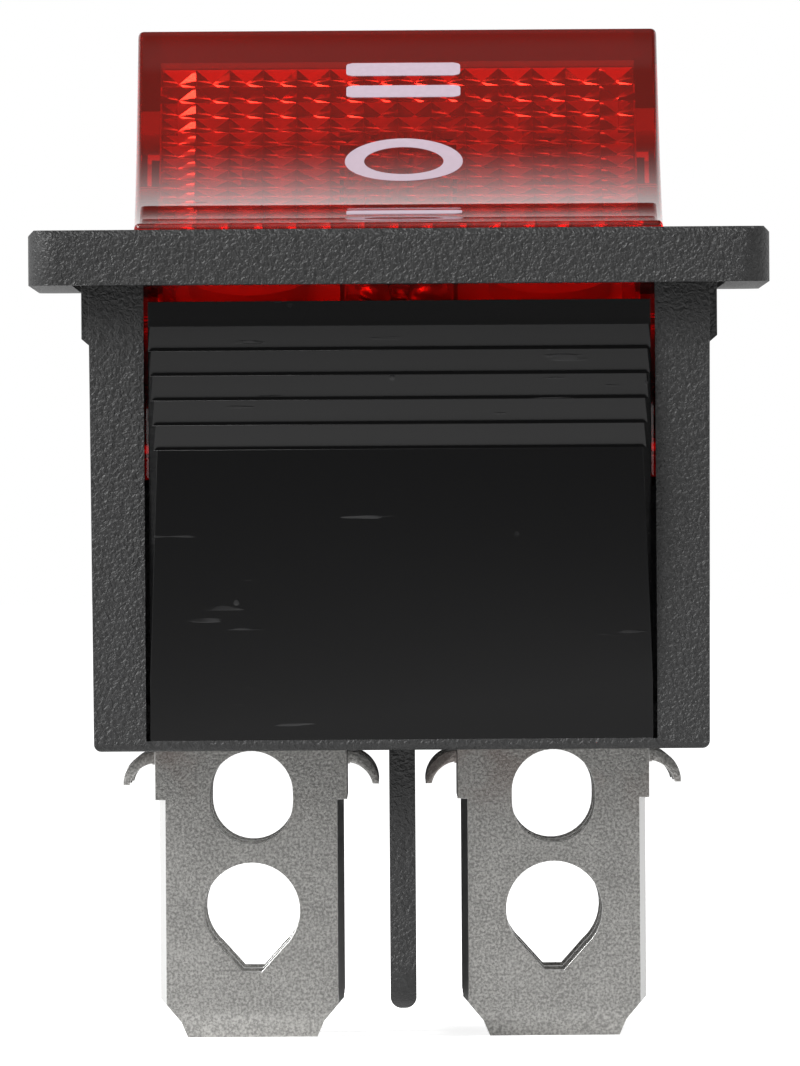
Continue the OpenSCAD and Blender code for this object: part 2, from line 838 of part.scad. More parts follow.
module lever(side) {
    color(brass) on_lever(side)
        difference() {
            along_x(lever_w) lever_face();
            along_x(big) circle(fulcrum_r + run_gap);
            for (y = [-1, 1])
                translate([0, y * contact_y, arm_foot - lever_t])
                    cylinder(r = rivet_r + rivet_gap, h = 3 * lever_t);
        }
}

// A crowned rivet under the lever's arm, clinched above it
module moving_contact(side, end) {
    color(silver) on_lever(side)
        translate([0, end * contact_y, 0]) {
            intersection() {
                translate([0, 0, contact_low]) cylinder(r = contact_r, h = contact_h);
                translate([0, 0, crown_z]) sphere(crown_r, $fn = 96);
            }
            translate([0, 0, arm_foot - eps]) cylinder(r = rivet_r, h = lever_t + 2 * eps);
            translate([0, 0, arm_foot + lever_t]) cylinder(r = rivet_head_r, h = rivet_head_h);
        }
}

// A flat rivet on the end terminal's shelf
module fixed_contact(side, end) {
    color(silver)
        translate([side * column_x, end * contact_y, shelf_z]) {
            cylinder(r = fixed_r, h = fixed_h);
            translate([0, 0, -blade_t - eps]) cylinder(r = rivet_r, h = blade_t + 2 * eps);
            translate([0, 0, -blade_t - rivet_head_h])
                cylinder(r = rivet_head_r, h = rivet_head_h);
        }
}

// ---- Terminals ----

// Blade seen from the front, as [x, z]: shoulder, straight sides and a tip tapered twice
module blade_face(top_z) {
    half = blade_w / 2;
    step = shoulder_w / 2;
    taper = 1.37;
    nose = 0.54;
    taper_in = 0.7;
    nose_in = 0.93;
    polygon([
        [step, top_z], [step, -shoulder_d], [half, -shoulder_d],
        [half, taper - blade_tip], [half - taper_in, nose - blade_tip],
        [half - nose_in, -blade_tip], [nose_in - half, -blade_tip],
        [taper_in - half, nose - blade_tip], [-half, taper - blade_tip],
        [-half, -shoulder_d], [-step, -shoulder_d], [-step, top_z]
    ]);
}

// The round-topped hole and the drop-shaped hole through the blade
module blade_holes() {
    slide = (eye_h - eye_w) / 2;
    for (z = [-slide, slide]) translate([0, z - eye_d]) circle(eye_w / 2);
    translate([-eye_w / 2, -slide - eye_d]) square([eye_w, 2 * slide]);
    translate([0, -drop_d]) {
        circle(drop_r);
        // straight sides leave the circle at this angle below level
        lean = 36;
        polygon([
            [-drop_r * cos(lean), -drop_r * sin(lean)], [-drop_flat / 2, -drop_foot],
            [drop_flat / 2, -drop_foot], [drop_r * cos(lean), -drop_r * sin(lean)]
        ]);
    }
}

// Sections that bevel the blade's long edges and coin its tip
module blade_bevels(top_z) {
    edge = 0.2;
    half = shoulder_w / 2;
    narrow = blade_w / 2;
    translate([0, 0, -blade_tip])
        linear_extrude(blade_tip - shoulder_d)
            polygon([
                [narrow - edge, -blade_t / 2], [narrow, edge - blade_t / 2],
                [narrow, blade_t / 2 - edge], [narrow - edge, blade_t / 2],
                [edge - narrow, blade_t / 2], [-narrow, blade_t / 2 - edge],
                [-narrow, edge - blade_t / 2], [edge - narrow, -blade_t / 2]
            ]);
    span([-half, -blade_t / 2, -shoulder_d], [half, blade_t / 2, top_z]);
}

module coined_tip(top_z) {
    coin = 0.85;
    thin = blade_t / 4;
    along_x(big)
        polygon([
            [-thin, -blade_tip], [thin, -blade_tip], [blade_t / 2, coin - blade_tip],
            [blade_t / 2, top_z], [-blade_t / 2, top_z], [-blade_t / 2, coin - blade_tip]
        ]);
}

// A locking ear under the floor, curved out and down from the shoulder
module ear() {
    inner_r = 0.95;
    inner_x = 0.05;
    inner_drop = 1.35;
    root = 0.4;
    root_in = 0.3;
    translate([shoulder_w / 2, foot_z - seat_gap]) {
        intersection() {
            difference() {
                translate([0, -ear_r]) circle(ear_r);
                translate([-inner_x, -inner_drop]) circle(inner_r);
            }
            translate([0, -ear_drop]) square([ear_r, ear_drop]);
        }
        translate([-root_in, -root - seat_gap]) square([root, root]);
    }
}

// The blade, its holes, bevels and ears, up to a given height
module blade(top_z) {
    intersection() {
        along_y(blade_t) difference() {
            blade_face(top_z);
            blade_holes();
        }
        blade_bevels(top_z);
        coined_tip(top_z);
    }
    along_y(ear_t) for (x = [0, 1]) mirror([x, 0]) ear();
}

// An end terminal: its top is bent inwards into a shelf for the fixed contact
module end_terminal(side, end) {
    corner = blade_t / 2 + bend_r;
    bend_z = shelf_z - blade_t - bend_r;
    shelf_w = 5.6;
    color(tin)
        translate([side * column_x, 0, 0]) mirror([0, end < 0 ? 1 : 0, 0]) {
            translate([0, row_pitch, 0]) {
                blade(bend_z);
                along_x(shelf_w)
                    translate([-corner, bend_z]) {
                        intersection() {
                            difference() {
                                circle(bend_r + blade_t);
                                circle(bend_r);
                            }
                            square(big);
                        }
                        translate([bend_r, -bend_leg]) square([blade_t, bend_leg]);
                    }
            }
            difference() {
                span([-shelf_w / 2, shelf_end, shelf_z - blade_t],
                    [shelf_w / 2, row_pitch - corner + eps, shelf_z]);
                translate([0, contact_y, shelf_z - 2 * blade_t])
                    cylinder(r = rivet_r + rivet_gap, h = 3 * blade_t);
            }
        }
}

// The middle terminal: its top carries the round fulcrum of the lever
module middle_terminal(side) {
    neck_h = 1;
    neck_z = floor_z + neck_h;
    color(tin)
        translate([side * column_x, 0, 0]) {
            blade(neck_z);
            span([-lever_w / 2, -blade_t / 2, neck_z - eps], [lever_w / 2, blade_t / 2, fulcrum_z]);
            translate([0, 0, fulcrum_z]) along_x(lever_w) circle(fulcrum_r);
        }
}

// ---- Nodes ----

housing();
rocker_cap();
rocker_carrier();
plunger(-1);  // plunger_left
plunger(1);  // plunger_right
spring(-1);  // spring_left
spring(1);  // spring_right
lever(-1);  // lever_left
lever(1);  // lever_right
moving_contact(-1, -1);  // moving_contact_left_front
moving_contact(-1, 1);  // moving_contact_left_rear
moving_contact(1, -1);  // moving_contact_right_front
moving_contact(1, 1);  // moving_contact_right_rear
fixed_contact(-1, -1);  // fixed_contact_left_front
fixed_contact(-1, 1);  // fixed_contact_left_rear
fixed_contact(1, -1);  // fixed_contact_right_front
fixed_contact(1, 1);  // fixed_contact_right_rear
end_terminal(-1, -1);  // terminal_left_front
middle_terminal(-1);  // terminal_left_middle
end_terminal(-1, 1);  // terminal_left_rear
end_terminal(1, -1);  // terminal_right_front
middle_terminal(1);  // terminal_right_middle
end_terminal(1, 1);  // terminal_right_rear
neon_lamp();
lamp_resistor();
lamp_lead_left();
lamp_lead_right();
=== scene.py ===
"""Panel rocker switch: finishes and fine shapes built round the packed part."""

import json
import math

import bmesh
import bpy
from mathutils import Matrix, Vector

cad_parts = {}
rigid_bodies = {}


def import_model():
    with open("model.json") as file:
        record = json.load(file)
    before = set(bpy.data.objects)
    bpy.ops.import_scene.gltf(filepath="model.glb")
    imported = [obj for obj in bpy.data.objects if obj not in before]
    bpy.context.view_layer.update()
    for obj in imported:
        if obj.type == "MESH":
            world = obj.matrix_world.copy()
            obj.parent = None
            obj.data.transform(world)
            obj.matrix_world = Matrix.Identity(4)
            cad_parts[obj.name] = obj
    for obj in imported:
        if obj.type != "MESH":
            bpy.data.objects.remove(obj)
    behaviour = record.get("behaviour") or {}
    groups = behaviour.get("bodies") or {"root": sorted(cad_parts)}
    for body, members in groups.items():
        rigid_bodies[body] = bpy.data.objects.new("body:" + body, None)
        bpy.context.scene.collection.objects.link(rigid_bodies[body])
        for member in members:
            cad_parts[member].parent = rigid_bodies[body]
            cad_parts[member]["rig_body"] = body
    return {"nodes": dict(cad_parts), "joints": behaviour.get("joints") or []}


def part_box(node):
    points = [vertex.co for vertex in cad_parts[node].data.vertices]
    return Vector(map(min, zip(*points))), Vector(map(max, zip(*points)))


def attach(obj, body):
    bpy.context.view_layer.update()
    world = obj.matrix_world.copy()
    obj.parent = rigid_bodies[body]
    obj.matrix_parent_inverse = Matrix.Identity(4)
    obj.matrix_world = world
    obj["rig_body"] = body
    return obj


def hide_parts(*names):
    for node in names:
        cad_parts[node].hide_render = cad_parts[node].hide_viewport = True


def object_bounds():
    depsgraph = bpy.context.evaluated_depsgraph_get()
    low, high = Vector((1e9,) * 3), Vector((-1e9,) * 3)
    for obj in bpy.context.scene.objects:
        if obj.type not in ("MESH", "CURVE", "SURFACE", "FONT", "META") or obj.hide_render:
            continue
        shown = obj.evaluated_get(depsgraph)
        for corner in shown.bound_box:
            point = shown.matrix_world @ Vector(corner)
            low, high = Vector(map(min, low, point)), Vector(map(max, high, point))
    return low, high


bl_info = {
    "name": "Panel rocker switch",
    "version": (1, 0, 0),
    "blender": (4, 5, 0),
    "location": "View3D > Sidebar > Rocker switch",
    "description": "Dresses the packed rocker switch in its finishes and sets its stage",
    "category": "Object",
}

MM = 0.001
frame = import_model()
CAD_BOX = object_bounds()
TABS = [f"terminal_{side}_{row}" for side in ("left", "right") for row in ("front", "middle", "rear")]
SIDES = ("left", "right")
ENDS = ("front", "rear")

# The rocker's pose at rest, from the packed record
HINGE = next(j for j in frame["joints"] if j["name"] == "rocker_tilt")
PIVOT = Vector(HINGE["pos_m"])
TILT = math.radians(-HINGE["range_deg"][0] / 2)
ON_ROCKER = Matrix.Translation(PIVOT) @ Matrix.Rotation(TILT, 4, "X")


# The smooth faces of the latch tongues, in metres from the switch's middle and the panel face
SMOOTH_HALF, SMOOTH_OUTER, SMOOTH_TOP, SMOOTH_FOOT = 0.00866, 0.0124, -0.0005, -0.01569


# ---- Sizes and colours ----


def length(name, text, default_mm):
    """A length property, given in millimetres and kept in metres."""
    return bpy.props.FloatProperty(
        name=name, description=text, default=default_mm * MM, min=0, unit="LENGTH", precision=5
    )


def colour(name, text, default):
    """A colour property with red, green and blue."""
    return bpy.props.FloatVectorProperty(
        name=name, description=text, default=default, size=3, subtype="COLOR", min=0, max=1
    )


def factor(name, text, default):
    """A share from 0 to 1."""
    return bpy.props.FloatProperty(
        name=name, description=text, default=default, min=0, max=1, subtype="FACTOR"
    )


class RockerSizes(bpy.types.PropertyGroup):
    """Sizes of the clear rocker, about its pivot and level"""

    top_width: length("Top width", "Width of the rocker at its top", 18.24)
    foot_width: length("Foot width", "Width of the rocker at its foot", 18.41)
    top_length: length("Top length", "Length of the rocker's top", 22.0)
    foot_length: length("Foot length", "Length of the rocker at its foot", 24.6)
    middle_height: length("Height", "Height of the middle of the top above the pivot", 6.36)
    dip: length("Dip", "Depth of the dip in the top", 1.315)
    skirt: length("Skirt", "Depth of the skirt below the pivot", 1.2)
    inner_width: length("Inner width", "Width of the hollow", 16.64)
    end_wall: length("End wall", "Thickness of the end walls", 1.3)
    top_wall: length("Top wall", "Thickness of the top above its prisms", 1.3)
    edge: length("Edge radius", "Radius of the outer edges", 0.2)
    prism_x: length("Prism pitch across", "Spacing of the prisms across the rocker", 1.18)
    prism_y: length("Prism pitch along", "Spacing of the prisms along the rocker", 1.34)
    prism_height: length("Prism height", "Height of a prism", 0.6)
    notch: length("Notch radius", "Radius of the notch that clears a pivot pin", 1.35)


class MarkSizes(bpy.types.PropertyGroup):
    """Sizes and places of the marks on the rocker's top"""

    bar_length: length("Bar length", "Length of a bar", 4.0)
    bar_width: length("Bar width", "Width of a bar of the pair", 0.94)
    lone_width: length("Single bar width", "Width of the single bar", 0.8)
    far_bar: length("Far bar", "Distance of the outer bar from the middle", 8.1)
    near_bar: length("Near bar", "Distance of the inner bar from the middle", 6.41)
    lone_bar: length("Single bar", "Distance of the single bar from the middle", 8.0)
    shift: length("Shift", "How far the marks stand to the right of the middle", 0.2)
    ring_width: length("Ring width", "Outer width of the ring", 4.11)
    ring_length: length("Ring length", "Outer length of the ring", 4.83)
    ring_side: length("Ring side stroke", "Width of the ring's line at its sides", 0.67)
    ring_end: length("Ring end stroke", "Width of the ring's line at its ends", 0.87)
    proud: length("Height", "How far the marks stand above the top", 0.012)
    sunk: length("Depth", "How far the marks reach into the top", 0.02)


class SpringSizes(bpy.types.PropertyGroup):
    """Sizes of a plunger's spring"""

    wire: length("Wire radius", "Radius of the wire", 0.14)
    radius: length("Coil radius", "Radius of the coil to the middle of the wire", 1.12)
    low: length("Foot", "Height of the first turn above the pivot", -1.83)
    high: length("Head", "Height of the last turn above the pivot", 1.33)
    turns: bpy.props.IntProperty(
        name="Turns", description="Number of turns, two of them close", default=6, min=4
    )


class Finishes(bpy.types.PropertyGroup):
    """Colours of the switch's finishes"""

    black: colour("Housing", "Colour of the black moulding", (0.022, 0.0222, 0.0225))
    gloss_black: colour("Latch faces", "Colour of the smooth latch tongues", (0.0025, 0.0025, 0.0027))
    red: colour("Rocker", "Colour of the rocker's faces", (0.86, 0.085, 0.06))
    depth: colour("Depth", "Colour that the clear rocker lets through, per millimetre", (0.97, 0.72, 0.68))
    clear: factor("Clearness", "Share of light that passes the rocker's faces", 0.9)
    mark: colour("Marks", "Colour of the marks", (0.50, 0.40, 0.47))
    cream: colour("Carrier", "Colour of the carrier inside the rocker", (0.80, 0.77, 0.68))
    tin: colour("Terminals", "Colour of the tin plating", (0.66, 0.65, 0.625))
    brass: colour("Levers", "Colour of the brass levers and plungers", (0.76, 0.58, 0.29))
    silver: colour("Contacts", "Colour of the contact rivets", (0.86, 0.85, 0.83))
    steel: colour("Springs", "Colour of the springs", (0.55, 0.55, 0.56))
    resistor: colour("Resistor", "Colour of the resistor's lacquer", (0.24, 0.46, 0.60))


class StageSettings(bpy.types.PropertyGroup):
    """Camera, lamps and surroundings"""

    distance: length("Distance", "Camera distance from the flange's near face", 950)
    height: length("Camera height", "How far the camera is below the panel face", 8.58)
    floor: length("Floor", "Half the width of the floor", 3000)
    floor_front: length("Floor front", "How far the floor reaches in front of the middle", 70)
    roll: bpy.props.FloatProperty(
        name="Roll", description="Turn of the camera about its view", default=math.radians(0.38),
        subtype="ANGLE",
    )
    lens: bpy.props.FloatProperty(
        name="Lens", description="Focal length in millimetres", default=933.6, min=1
    )
    fill: factor("Fill", "Brightness of the surroundings on matt surfaces", 0.42)
    front: factor("Front", "Brightness of the front in reflections", 0.45)
    right: factor("Right", "Brightness of the right in reflections", 0.3)
    room: factor("Room", "Brightness of the room elsewhere in reflections", 0.03)
    key: bpy.props.FloatProperty(
        name="Key", description="Power of the lamp at the upper left, in watts", default=9.0, min=0
    )
    side: bpy.props.FloatProperty(
        name="Side", description="Power of the lamp at the right, in watts", default=0.6, min=0
    )


GROUPS = {
    "switch_rocker": RockerSizes,
    "switch_marks": MarkSizes,
    "switch_spring": SpringSizes,
    "switch_finish": Finishes,
    "switch_stage": StageSettings,
}


def settings(name):
    """The scene's property group of that name."""
    return getattr(bpy.context.scene, name)


# ---- Node helpers ----


class Tree:
    """Adds nodes to a tree, with their inputs given as values or as links."""

    def __init__(self, tree):
        self.tree = tree

    def add(self, kind, inputs=None, **options):
        node = self.tree.nodes.new(kind)
        for key, value in options.items():
            setattr(node, key, value)
        for key, value in (inputs or {}).items():
            self.feed(node.inputs[key], value)
        return node

    def feed(self, socket, value):
        if isinstance(value, bpy.types.Node):
            value = next(s for s in value.outputs if s.enabled)
        if isinstance(value, bpy.types.NodeSocket):
            self.tree.links.new(value, socket)
        else:
            socket.default_value = value

    def math(self, operation, a, b=0.0, c=0.0, kind="ShaderNodeMath", clamp=False):
        node = self.add(kind, {0: a, 1: b, 2: c}, operation=operation)
        node.use_clamp = clamp
        return node.outputs[0]

    def spread(self, value, low, high, out_low=0.0, out_high=1.0):
        node = self.add(
            "ShaderNodeMapRange",
            {"Value": value, "From Min": low, "From Max": high, "To Min": out_low, "To Max": out_high},
            interpolation_type="SMOOTHSTEP",
        )
        return node.outputs["Result"]

    def blend(self, share, a, b):
        node = self.add("ShaderNodeMix", data_type="RGBA")
        self.feed(node.inputs["Factor"], share)
        for socket, value in ((node.inputs[6], a), (node.inputs[7], b)):
            if isinstance(value, (tuple, list)) and len(value) == 3:
                value = (*value, 1)
            self.feed(socket, value)
        return node.outputs[2]

    def noise(self, vector, scale, detail=2.0, roughness=0.5, distortion=0.0):
        node = self.add(
            "ShaderNodeTexNoise",
            {"Vector": vector, "Scale": scale, "Detail": detail, "Roughness": roughness,
             "Distortion": distortion},
        )
        return node.outputs[0]


def shader_group(name, inputs, outputs):
    """A new shader node group with its sockets; returns (group, tree, group input, group output)."""
    group = bpy.data.node_groups.new(name, "ShaderNodeTree")
    for label, kind, value in inputs:
        socket = group.interface.new_socket(label, in_out="INPUT", socket_type=kind)
        if value is not None:
            socket.default_value = value
    for label, kind in outputs:
        group.interface.new_socket(label, in_out="OUTPUT", socket_type=kind)
    tree = Tree(group)
    return group, tree, tree.add("NodeGroupInput"), tree.add("NodeGroupOutput")


def grain_group():
    """Spark-eroded grain of a mould: a height and a faint tint."""
    group, t, given, out = shader_group(
        "Mould grain",
        [("Vector", "NodeSocketVector", None), ("Scale", "NodeSocketFloat", 4200.0)],
        [("Height", "NodeSocketFloat"), ("Tint", "NodeSocketFloat")],
    )
    fine = t.noise(given.outputs["Vector"], given.outputs["Scale"], 2.5, 0.55, 0.6)
    coarse = t.noise(given.outputs["Vector"], t.math("MULTIPLY", given.outputs["Scale"], 0.3), 1.0)
    height = t.math("ADD", t.math("MULTIPLY", fine, 0.75), t.math("MULTIPLY", coarse, 0.25))
    t.feed(out.inputs["Height"], height)
    t.feed(out.inputs["Tint"], t.spread(fine, 0.35, 0.7))
    return group


def speckle_group():
    """Fine sparkle of plated or rolled metal: a tone, a roughness and a height."""
    group, t, given, out = shader_group(
        "Metal speckle",
        [
            ("Vector", "NodeSocketVector", None),
            ("Scale", "NodeSocketFloat", 9000.0),
            ("Roughness", "NodeSocketFloat", 0.35),
            ("Spread", "NodeSocketFloat", 0.12),
        ],
        [("Tone", "NodeSocketFloat"), ("Roughness", "NodeSocketFloat"), ("Height", "NodeSocketFloat")],
    )
    grain = t.noise(given.outputs["Vector"], given.outputs["Scale"], 3.0, 0.65)
    cloud = t.noise(given.outputs["Vector"], t.math("MULTIPLY", given.outputs["Scale"], 0.06), 2.0)
    both = t.math("ADD", t.math("MULTIPLY", grain, 0.9), t.math("MULTIPLY", cloud, 0.1))
    t.feed(out.inputs["Tone"], t.spread(both, 0.36, 0.66))
    shift = t.math("MULTIPLY", t.math("SUBTRACT", cloud, 0.5), given.outputs["Spread"])
    t.feed(out.inputs["Roughness"], t.math("ADD", given.outputs["Roughness"], shift, clamp=True))
    t.feed(out.inputs["Height"], grain)
    return group


def dust_group():
    """Dust specks and hair scratches on a smooth moulding."""
    group, t, given, out = shader_group(
        "Dust and scratches",
        [
            ("Vector", "NodeSocketVector", None),
            ("Specks", "NodeSocketFloat", 900.0),
            ("Amount", "NodeSocketFloat", 0.5),
        ],
        [("Mask", "NodeSocketFloat")],
    )
    cells = t.add(
        "ShaderNodeTexVoronoi",
        {"Vector": given.outputs["Vector"], "Scale": given.outputs["Specks"], "Randomness": 1.0},
    )
    speck = t.spread(cells.outputs["Distance"], 0.09, 0.03)
    patches = t.spread(t.noise(given.outputs["Vector"], 260.0, 3.0), 0.5, 0.68)
    stretched = t.add(
        "ShaderNodeMapping",
        {"Vector": given.outputs["Vector"], "Rotation": (0.0, 0.35, 0.0), "Scale": (0.09, 1.0, 1.0)},
    )
    hair = t.spread(t.noise(stretched, 3800.0, 2.0, 0.4), 0.69, 0.74)
    marks = t.math("ADD", t.math("MULTIPLY", speck, patches), t.math("MULTIPLY", hair, patches))
    t.feed(out.inputs["Mask"], t.math("MULTIPLY", marks, given.outputs["Amount"], clamp=True))
    return group


EFFECTS = {"grain": grain_group, "speckle": speckle_group, "dust": dust_group}


def effect(tree, name, inputs):
    """One of the shared effects, placed in a material with its own values."""
    key = f"effect_{name}"
    group = bpy.data.node_groups.get(key)
    if group is None:
        group = EFFECTS[name]()
        group.name = key
    node = tree.add("ShaderNodeGroup", node_tree=group)
    for label, value in inputs.items():
        tree.feed(node.inputs[label], value)
    return node


def material(name, plain=None):
    """A new material: returns (material, tree, Principled node, Object coordinates)."""
    mat = bpy.data.materials.new(name)
    mat.use_nodes = True
    mat.node_tree.nodes.clear()
    tree = Tree(mat.node_tree)
    body = tree.add("ShaderNodeBsdfPrincipled")
    for label, value in (plain or {}).items():
        body.inputs[label].default_value = value
    out = tree.add("ShaderNodeOutputMaterial")
    tree.tree.links.new(body.outputs[0], out.inputs["Surface"])
    return mat, tree, body, tree.add("ShaderNodeTexCoord").outputs["Object"]


def bump(tree, body, height, strength, distance_mm):
    node = tree.add(
        "ShaderNodeBump", {"Height": height, "Strength": strength, "Distance": distance_mm * MM}
    )
    tree.feed(body.inputs["Normal"], node.outputs["Normal"])


def rocker_coordinates(tree, coordinates):
    """Object coordinates turned to lie level with the rocker, about its pivot."""
    moved = tree.add(
        "ShaderNodeMapping",
        {"Vector": coordinates, "Location": tuple(PIVOT), "Rotation": (TILT, 0.0, 0.0)},
        vector_type="TEXTURE",
    )
    return moved.outputs[0]


# ---- Materials ----


def housing_material(finish):
    """Black moulding: eroded grain, with smooth glossy latch tongues that are drawn by their place."""
    mat, t, body, at = material("Black moulding", {"Specular IOR Level": 0.5, "IOR": 1.5})
    grain = effect(t, "grain", {"Vector": at, "Scale": 7200.0})
    dust = effect(t, "dust", {"Vector": at, "Specks": 700.0, "Amount": 0.6})
    split = t.add("ShaderNodeSeparateXYZ", {"Vector": at})
    across = t.math("ABSOLUTE", split.outputs["X"])
    along = t.math("ABSOLUTE", split.outputs["Y"])
    within = t.math("LESS_THAN", across, SMOOTH_HALF)
    outer = t.math("GREATER_THAN", along, SMOOTH_OUTER)
    below = t.math("LESS_THAN", split.outputs["Z"], SMOOTH_TOP)
    above = t.math("GREATER_THAN", split.outputs["Z"], SMOOTH_FOOT)
    smooth = t.math("MULTIPLY", t.math("MULTIPLY", within, outer), t.math("MULTIPLY", below, above))
    matt = t.blend(grain.outputs["Tint"], [c * 0.75 for c in finish.black], [c * 1.2 for c in finish.black])
    gloss = t.blend(dust.outputs["Mask"], tuple(finish.gloss_black), (0.035, 0.035, 0.036))
    t.feed(body.inputs["Base Color"], t.blend(smooth, matt, gloss))
    rough = t.math("ADD", t.math("MULTIPLY", dust.outputs["Mask"], 0.3), 0.24)
    far = t.math("SUBTRACT", 1.0, smooth)
    t.feed(
        body.inputs["Roughness"],
        t.math("ADD", t.math("MULTIPLY", rough, smooth), t.math("MULTIPLY", far, 0.45)),
    )
    faint = t.math("MULTIPLY", dust.outputs["Mask"], 0.15)
    height = t.math(
        "ADD", t.math("MULTIPLY", grain.outputs["Height"], far), t.math("MULTIPLY", faint, smooth)
    )
    bump(t, body, height, 1.0, 0.12)
    return mat


def cap_material(finish):
    """Clear red moulding: tinted faces, and a colour that grows with the depth light passes."""
    mat, t, body, at = material(
        "Clear red",
        {"Base Color": (*finish.red, 1), "Transmission Weight": finish.clear, "IOR": 1.5},
    )
    level = rocker_coordinates(t, at)
    dust = effect(t, "dust", {"Vector": level, "Specks": 1100.0, "Amount": 0.5})
    t.feed(body.inputs["Roughness"], t.math("ADD", t.math("MULTIPLY", dust.outputs["Mask"], 0.3), 0.02))
    bump(t, body, t.noise(level, 330.0, 1.0), 0.1, 0.008)
    strength = 2.0
    tint = tuple(1.0 + math.log(c) / strength for c in finish.depth)
    absorb = t.add("ShaderNodeVolumeAbsorption", {"Color": (*tint, 1), "Density": strength / MM})
    out = next(n for n in mat.node_tree.nodes if n.type == "OUTPUT_MATERIAL")
    t.tree.links.new(absorb.outputs[0], out.inputs["Volume"])
    return mat


def mark_material(finish):
    """Matt printed marks with a fine grain."""
    mat, t, body, at = material("Mark ink", {"Specular IOR Level": 0.3})
    grain = effect(t, "grain", {"Vector": rocker_coordinates(t, at), "Scale": 6000.0})
    t.feed(
        body.inputs["Base Color"],
        t.blend(grain.outputs["Tint"], [c * 0.94 for c in finish.mark], tuple(finish.mark)),
    )
    t.feed(body.inputs["Roughness"], t.spread(grain.outputs["Tint"], 0.0, 1.0, 0.4, 0.5))
    bump(t, body, grain.outputs["Height"], 0.2, 0.01)
    return mat


def carrier_material(finish):
    """Cream moulding of the carrier, lightly eroded."""
    mat, t, body, at = material("Cream moulding")
    grain = effect(t, "grain", {"Vector": at, "Scale": 3000.0})
    t.feed(
        body.inputs["Base Color"],
        t.blend(grain.outputs["Tint"], [c * 0.95 for c in finish.cream], tuple(finish.cream)),
    )
    t.feed(body.inputs["Roughness"], t.spread(grain.outputs["Tint"], 0.0, 1.0, 0.42, 0.55))
    bump(t, body, grain.outputs["Height"], 0.3, 0.02)
    return mat


def tin_material(finish):
    """Tin plating: a fine sparkle on the faces, drawing lines, edges painted pale as a painted highlight, a
    brown tinge above.
    """
    mat, t, body, at = material("Tin plating", {"Metallic": 1.0})
    speckle = effect(t, "speckle", {"Vector": at, "Scale": 11000.0, "Roughness": 0.36, "Spread": 0.1})
    split = t.add("ShaderNodeSeparateXYZ", {"Vector": at})
    facing = t.add("ShaderNodeSeparateXYZ", {"Vector": t.add("ShaderNodeNewGeometry").outputs["True Normal"]})
    flat = t.spread(t.math("ABSOLUTE", facing.outputs["Y"]), 0.9, 0.98)
    drawn = t.add("ShaderNodeMapping", {"Vector": at, "Scale": (1.0, 1.0, 0.03)})
    lines = t.spread(t.noise(drawn, 2600.0, 3.0, 0.7), 0.62, 0.75)
    dark = [c * 0.42 for c in finish.tin]
    tone = t.blend(speckle.outputs["Tone"], dark, [c * 0.86 for c in finish.tin])
    lined = t.blend(t.math("MULTIPLY", lines, 0.3), tone, tuple(finish.tin))
    near_housing = t.spread(split.outputs["Z"], -19.0 * MM, -16.0 * MM)
    patch = t.spread(t.noise(at, 420.0, 2.0), 0.48, 0.66)
    brown = t.math("MULTIPLY", t.math("MULTIPLY", near_housing, patch), 0.45)
    face = t.blend(brown, lined, (0.30, 0.22, 0.19))
    # painted highlight: where the faces aren't flat, the rounded edges get a pale clean colour in place of
    # the tin, so that their reflections show bright
    t.feed(body.inputs["Base Color"], t.blend(flat, (0.86, 0.86, 0.85), face))
    rough = t.math("MULTIPLY", t.math("SUBTRACT", speckle.outputs["Roughness"], 0.3), flat)
    t.feed(body.inputs["Roughness"], t.math("ADD", rough, 0.3))
    height = t.math("ADD", speckle.outputs["Height"], t.math("MULTIPLY", lines, 0.3))
    bump(t, body, t.math("MULTIPLY", height, flat), 0.6, 0.02)
    return mat


def metal_material(name, tint, roughness, scale, depth):
    """Plain metal with the shared sparkle."""
    mat, t, body, at = material(name, {"Metallic": 1.0})
    speckle = effect(
        t, "speckle", {"Vector": at, "Scale": scale, "Roughness": roughness, "Spread": 0.15}
    )
    t.feed(
        body.inputs["Base Color"],
        t.blend(speckle.outputs["Tone"], [c * 0.82 for c in tint], tuple(tint)),
    )
    t.feed(body.inputs["Roughness"], speckle.outputs["Roughness"])
    bump(t, body, speckle.outputs["Height"], 0.3, depth)
    return mat


def glass_material():
    """Thin clear glass of the lamp, with a faint patchy haze."""
    mat, t, body, at = material(
        "Lamp glass",
        {"Base Color": (1.0, 0.97, 0.93, 1), "Transmission Weight": 1.0, "IOR": 1.45},
    )
    haze = t.spread(t.noise(at, 500.0, 2.0), 0.35, 0.7, 0.02, 0.07)
    t.feed(body.inputs["Roughness"], haze)
    return mat


def resistor_material(finish):
    """Lacquered body with colour bands round it, along its own axis."""
    mat, t, body, at = material("Resistor lacquer", {"Coat Weight": 0.4})
    level = rocker_coordinates(t, at)
    split = t.add("ShaderNodeSeparateXYZ", {"Vector": level})
    place = t.math("DIVIDE", t.math("SUBTRACT", split.outputs["Y"], 2.7 * MM), 4.8 * MM)
    ramp = t.add("ShaderNodeValToRGB", {"Fac": place})
    ramp.color_ramp.interpolation = "CONSTANT"
    base = (*finish.resistor, 1)
    stops = [
        (0.0, base), (0.10, (0.05, 0.02, 0.01, 1)), (0.19, base), (0.32, (0.02, 0.02, 0.02, 1)),
        (0.40, base), (0.50, (0.75, 0.65, 0.05, 1)), (0.58, base), (0.82, (0.55, 0.38, 0.08, 1)),
        (0.91, base),
    ]
    while len(ramp.color_ramp.elements) < len(stops):
        ramp.color_ramp.elements.new(0.5)
    for element, (where, tint) in zip(ramp.color_ramp.elements, stops):
        element.position = where
        element.color = tint
    worn = t.spread(t.noise(level, 1500.0, 2.0), 0.4, 0.7)
    t.feed(body.inputs["Base Color"], t.blend(t.math("MULTIPLY", worn, 0.12), ramp.outputs[0], base))
    t.feed(body.inputs["Roughness"], t.spread(worn, 0.0, 1.0, 0.25, 0.4))
    return mat


